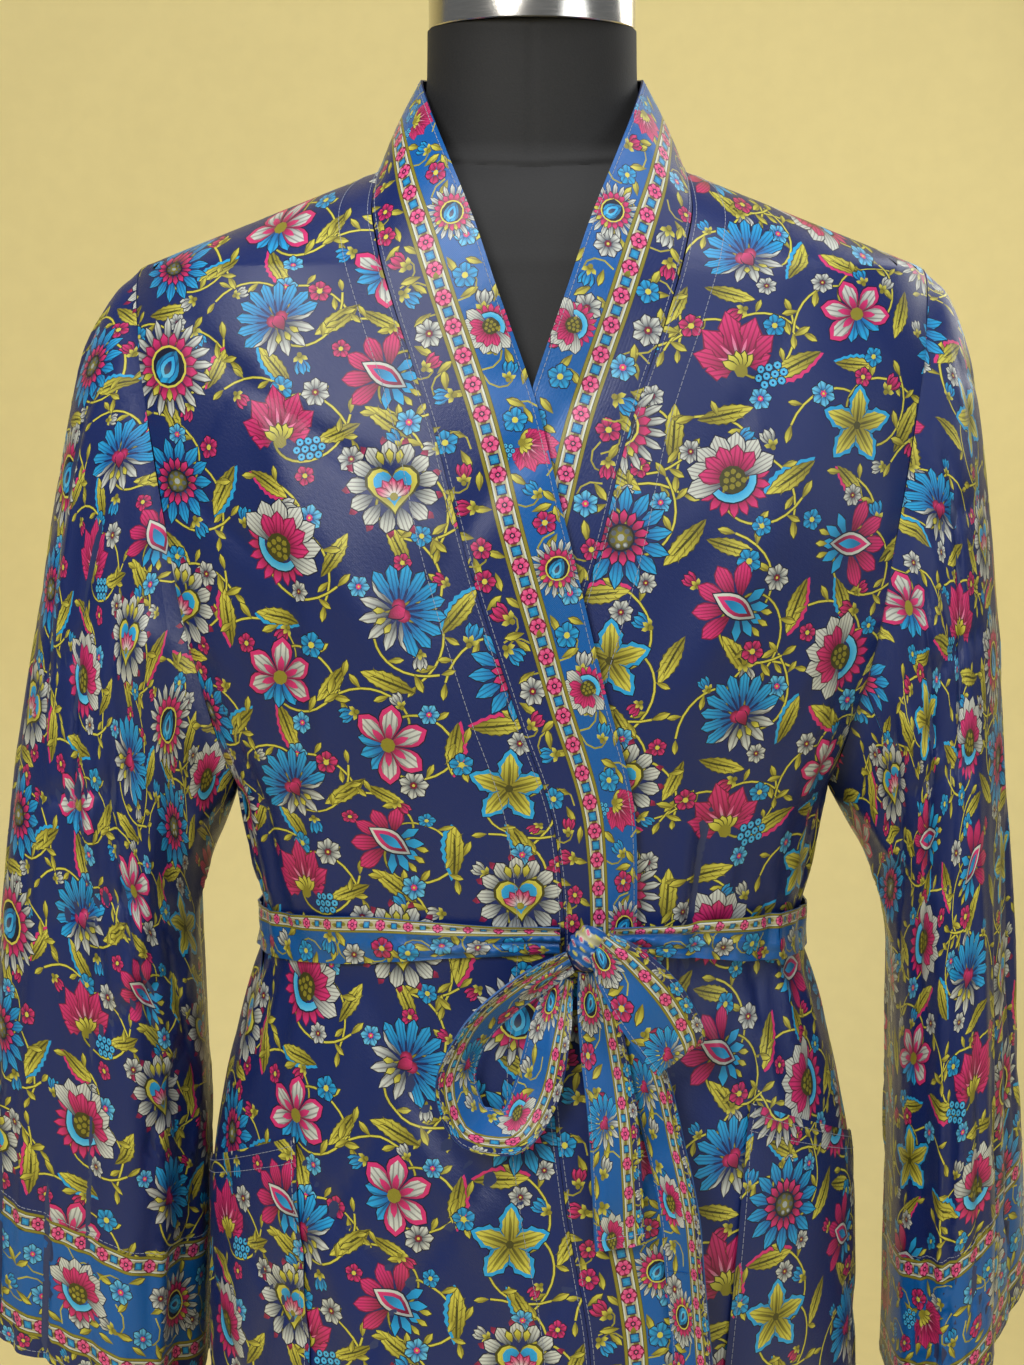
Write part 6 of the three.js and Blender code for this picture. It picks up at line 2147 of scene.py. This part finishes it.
@dataclass
class Topstitching:
    """The rows of stitches along the band, pockets, cuffs and belt."""

    tree: StitchTree
    panels: Panels
    sleeves: Sequence[Sleeve]
    bands: Sequence[Band]
    belt: Belt
    proud: float = 0.16

    def line(self, chart: Chart, across: Array, along: Array, thick: float) -> Array:
        """A line of the flat cut laid on the outer face, cut to the sheet."""
        p, q = chart.locate(np.stack(np.broadcast_arrays(across, along), -1))
        keep = (p > 0.002) & (p < 0.998) & (q > 0.002) & (q < 0.998)
        return chart.place(p[keep], q[keep], thick / 2 + self.proud)

    def build(self) -> None:
        """Sews every row of stitches."""
        for sleeve in self.sleeves:
            chart = sleeve.chart()
            x = np.linspace(chart.across.min() + 2, chart.across.max() - 2, 220)
            rows = [self.line(chart, x, y, CLOTH) for y in (4.0, sleeve.prints.cuff_top + 2.0)]
            self.keep(f"sleeve_{sleeve.side.name.lower()}_stitches", rows)
        for side, band in zip((Side.RIGHT, Side.LEFT), self.bands):
            chart, own = self.panels.front(side), side.value
            level = np.linspace(2, chart.along.max() - 4, 320)
            start = np.interp(level, chart.along[:, 0], chart.across[:, 0] * own)
            apart = 26 - 6 * ease((level - 820) / 200)
            rows = [self.line(chart, own * (start + off), level, CLOTH) for off in (2.2, apart)]
            x = np.linspace(chart.across.min() + 2, chart.across.max() - 2, 200)
            rows.append(self.line(chart, x, 14.0, CLOTH))
            strip = band.chart()
            y = np.linspace(2, strip.along.max() - 2, 420)
            rows += [self.line(strip, own * off, y, BAND_CLOTH) for off in (band.prints.band - 2.5, 2.0)]
            self.keep(f"front_{side.name.lower()}_stitches", rows)
            pocket = self.panels.pocket(side)
            rows = []
            for at, down in ((0.975, False), (0.93, False), (0.02, False), (0.02, True), (0.985, True)):
                run = np.linspace(0.02, 0.985, 120)
                p, q = (np.full_like(run, at), run) if down else (run, np.full_like(run, at))
                rows.append(pocket.place(p, q, CLOTH / 2 + self.proud))
            self.keep(f"pocket_{side.name.lower()}_stitches", rows)
        off = BELT_CLOTH / 2 + self.proud
        for name, chart in self.belt.charts().items():
            if name == "belt_wrap":
                continue
            run = np.linspace(0.02, 0.985, 160)
            rows = [chart.place(np.full_like(run, at), run, off) for at in (0.06, 0.94)]
            if "tail" in name:
                rows.append(chart.place(np.linspace(0.04, 0.96, 30), np.full(30, 0.975), off))
            self.keep(name + "_stitches", rows)

    def keep(self, name: str, rows: Sequence[Array]) -> None:
        """Sews one piece's rows and makes it ride."""
        sewn = self.tree.sew(name, [row for row in rows if len(row) > 2])
        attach(sewn, "root")
        "border_satin" if "belt" in name else "printed_satin"


# ---------------------------------------------------------------- floor, lights and camera
@dataclass(frozen=True)
class Studio:
    """The pale floor, the soft lights and the camera.

    Attributes:
        eye: The camera's place, in metres.
        down: How far it looks down, in degrees.
        lens: Its focal length on a 36 mm sensor.
        aside: How far the picture is shifted, as a share of its longer side.
        floor_front: Where the floor starts, in metres; it runs along Y.
        floor_back: Where it starts to bend up into the wall.
        bend: The bend's radius.
        wall_top: The wall's height.
        half_wide: Half the floor's width.
        sunk: How far the floor lies below the stand's foot.
    """

    eye: tuple[float, float, float] = (0.0, -1.240, 1.354)
    down: float = 9.7
    lens: float = 54.07
    aside: float = -20 / 1365
    floor_front: float = -3.2
    floor_back: float = 1.4
    bend: float = 0.9
    wall_top: float = 4.2
    half_wide: float = 4.5
    sunk: float = 0.0008

    def camera(self) -> None:
        """Makes the camera."""
        data = bpy.data.cameras.new("camera")
        data.lens, data.sensor_width, data.sensor_fit = self.lens, 36.0, "AUTO"
        data.shift_x = self.aside
        data.clip_start, data.clip_end = 0.05, 50
        camera = linked("camera", data)
        camera.location = self.eye
        camera.rotation_euler = (math.radians(90 - self.down), 0, 0)
        bpy.context.scene.camera = camera

    def floor(self) -> None:
        """Makes the floor and the wall that it runs up into, which is clear from behind."""
        back, bend = self.floor_back, self.bend
        profile = [(self.floor_front, 0.0), (back, 0.0)]
        profile += [(back + bend * math.sin(t), bend - bend * math.cos(t)) for t in np.linspace(0.1, math.pi / 2, 14)]
        profile += [(back + bend, self.wall_top)]
        verts = [(x, y, z - self.sunk) for y, z in profile for x in (-self.half_wide, self.half_wide)]
        faces = [(2 * k, 2 * k + 1, 2 * k + 3, 2 * k + 2) for k in range(len(profile) - 1)]
        mesh = bpy.data.meshes.new("floor")
        mesh.from_pydata(verts, [], faces)
        mesh.polygons.foreach_set("use_smooth", np.ones(len(faces), bool))
        paper = Finish("floor_paper", (0.94, 0.80, 0.38), 0.9, grain=30, bump=0.02, vary=0.01, one_sided=True)
        mesh.materials.append(paper.make())
        floor = linked("floor", mesh)
        floor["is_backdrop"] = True

    def lights(self) -> None:
        """Makes the lamps and the room's own light."""
        lamps = (
            ("key", (-1.2, -2.4, 2.7), 1.3, 62, (1.0, 0.98, 0.95)),
            ("fill", (2.2, -2.0, 1.9), 1.6, 17, (0.94, 0.97, 1.0)),
            ("top", (0.2, -0.5, 3.1), 1.2, 22, (1.0, 1.0, 1.0)),
            ("rim", (1.6, 1.4, 2.1), 1.2, 14, (1.0, 1.0, 1.0)),
        )
        for name, place, size, power, colour in lamps:
            data = bpy.data.lights.new(name, "AREA")
            data.shape, data.size, data.energy, data.color = "DISK", size, power, colour
            lamp = linked(name, data)
            lamp.location = place
            aim = Vector((0, 0, 1.05)) - Vector(place)
            lamp.rotation_euler = aim.to_track_quat("-Z", "Y").to_euler()
        world = bpy.data.worlds.new("room")
        bpy.context.scene.world = world
        world.use_nodes = True
        bpy.context.scene.view_settings.view_transform = "Standard"
        sky = world.node_tree.nodes["Background"]
        sky.inputs["Color"].default_value = (0.78, 0.82, 0.88, 1)
        sky.inputs["Strength"].default_value = 0.2


def main() -> list:
    """Builds everything in order and returns the frame's own box."""
    logging.basicConfig(level=logging.INFO, format="%(name)s: %(message)s")
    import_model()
    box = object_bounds()
    studio = Studio()
    studio.camera()
    field_satin = Satin("printed_satin").make()
    border_satin = Satin("border_satin", gloss=0.34).make()
    DressForm(
        Finish("form_cover", (0.0075, 0.0075, 0.008), 0.74, grain=900, bump=0.2, vary=0.1, sheen=0.03),
        Finish("form_steel", (0.66, 0.63, 0.57), 0.2, 1.0, grain=40, stretch=(2, 2, 60), bump=0.04, vary=0.05),
        Finish("foot_enamel", (0.02, 0.02, 0.022), 0.38, grain=500, bump=0.05, vary=0.05),
    ).build()
    prints = PrintRoom()
    panels = Panels(field_satin, prints)
    panels.build()
    sleeves = [Sleeve(side, field_satin, prints) for side in (Side.RIGHT, Side.LEFT)]
    bands = [Band(side, border_satin, prints) for side in (Side.RIGHT, Side.LEFT)]
    for piece in (*sleeves, *bands):
        piece.build()
    belt = Belt(border_satin, prints)
    belt.build()
    thread = Finish("thread", (0.30, 0.32, 0.38), 0.6, grain=800, bump=0.1, vary=0.05).make()
    Topstitching(StitchTree(thread), panels, sleeves, bands, belt).build()
    studio.floor()
    studio.lights()
    return box


if __name__ == "__main__":
    frame_box = main()
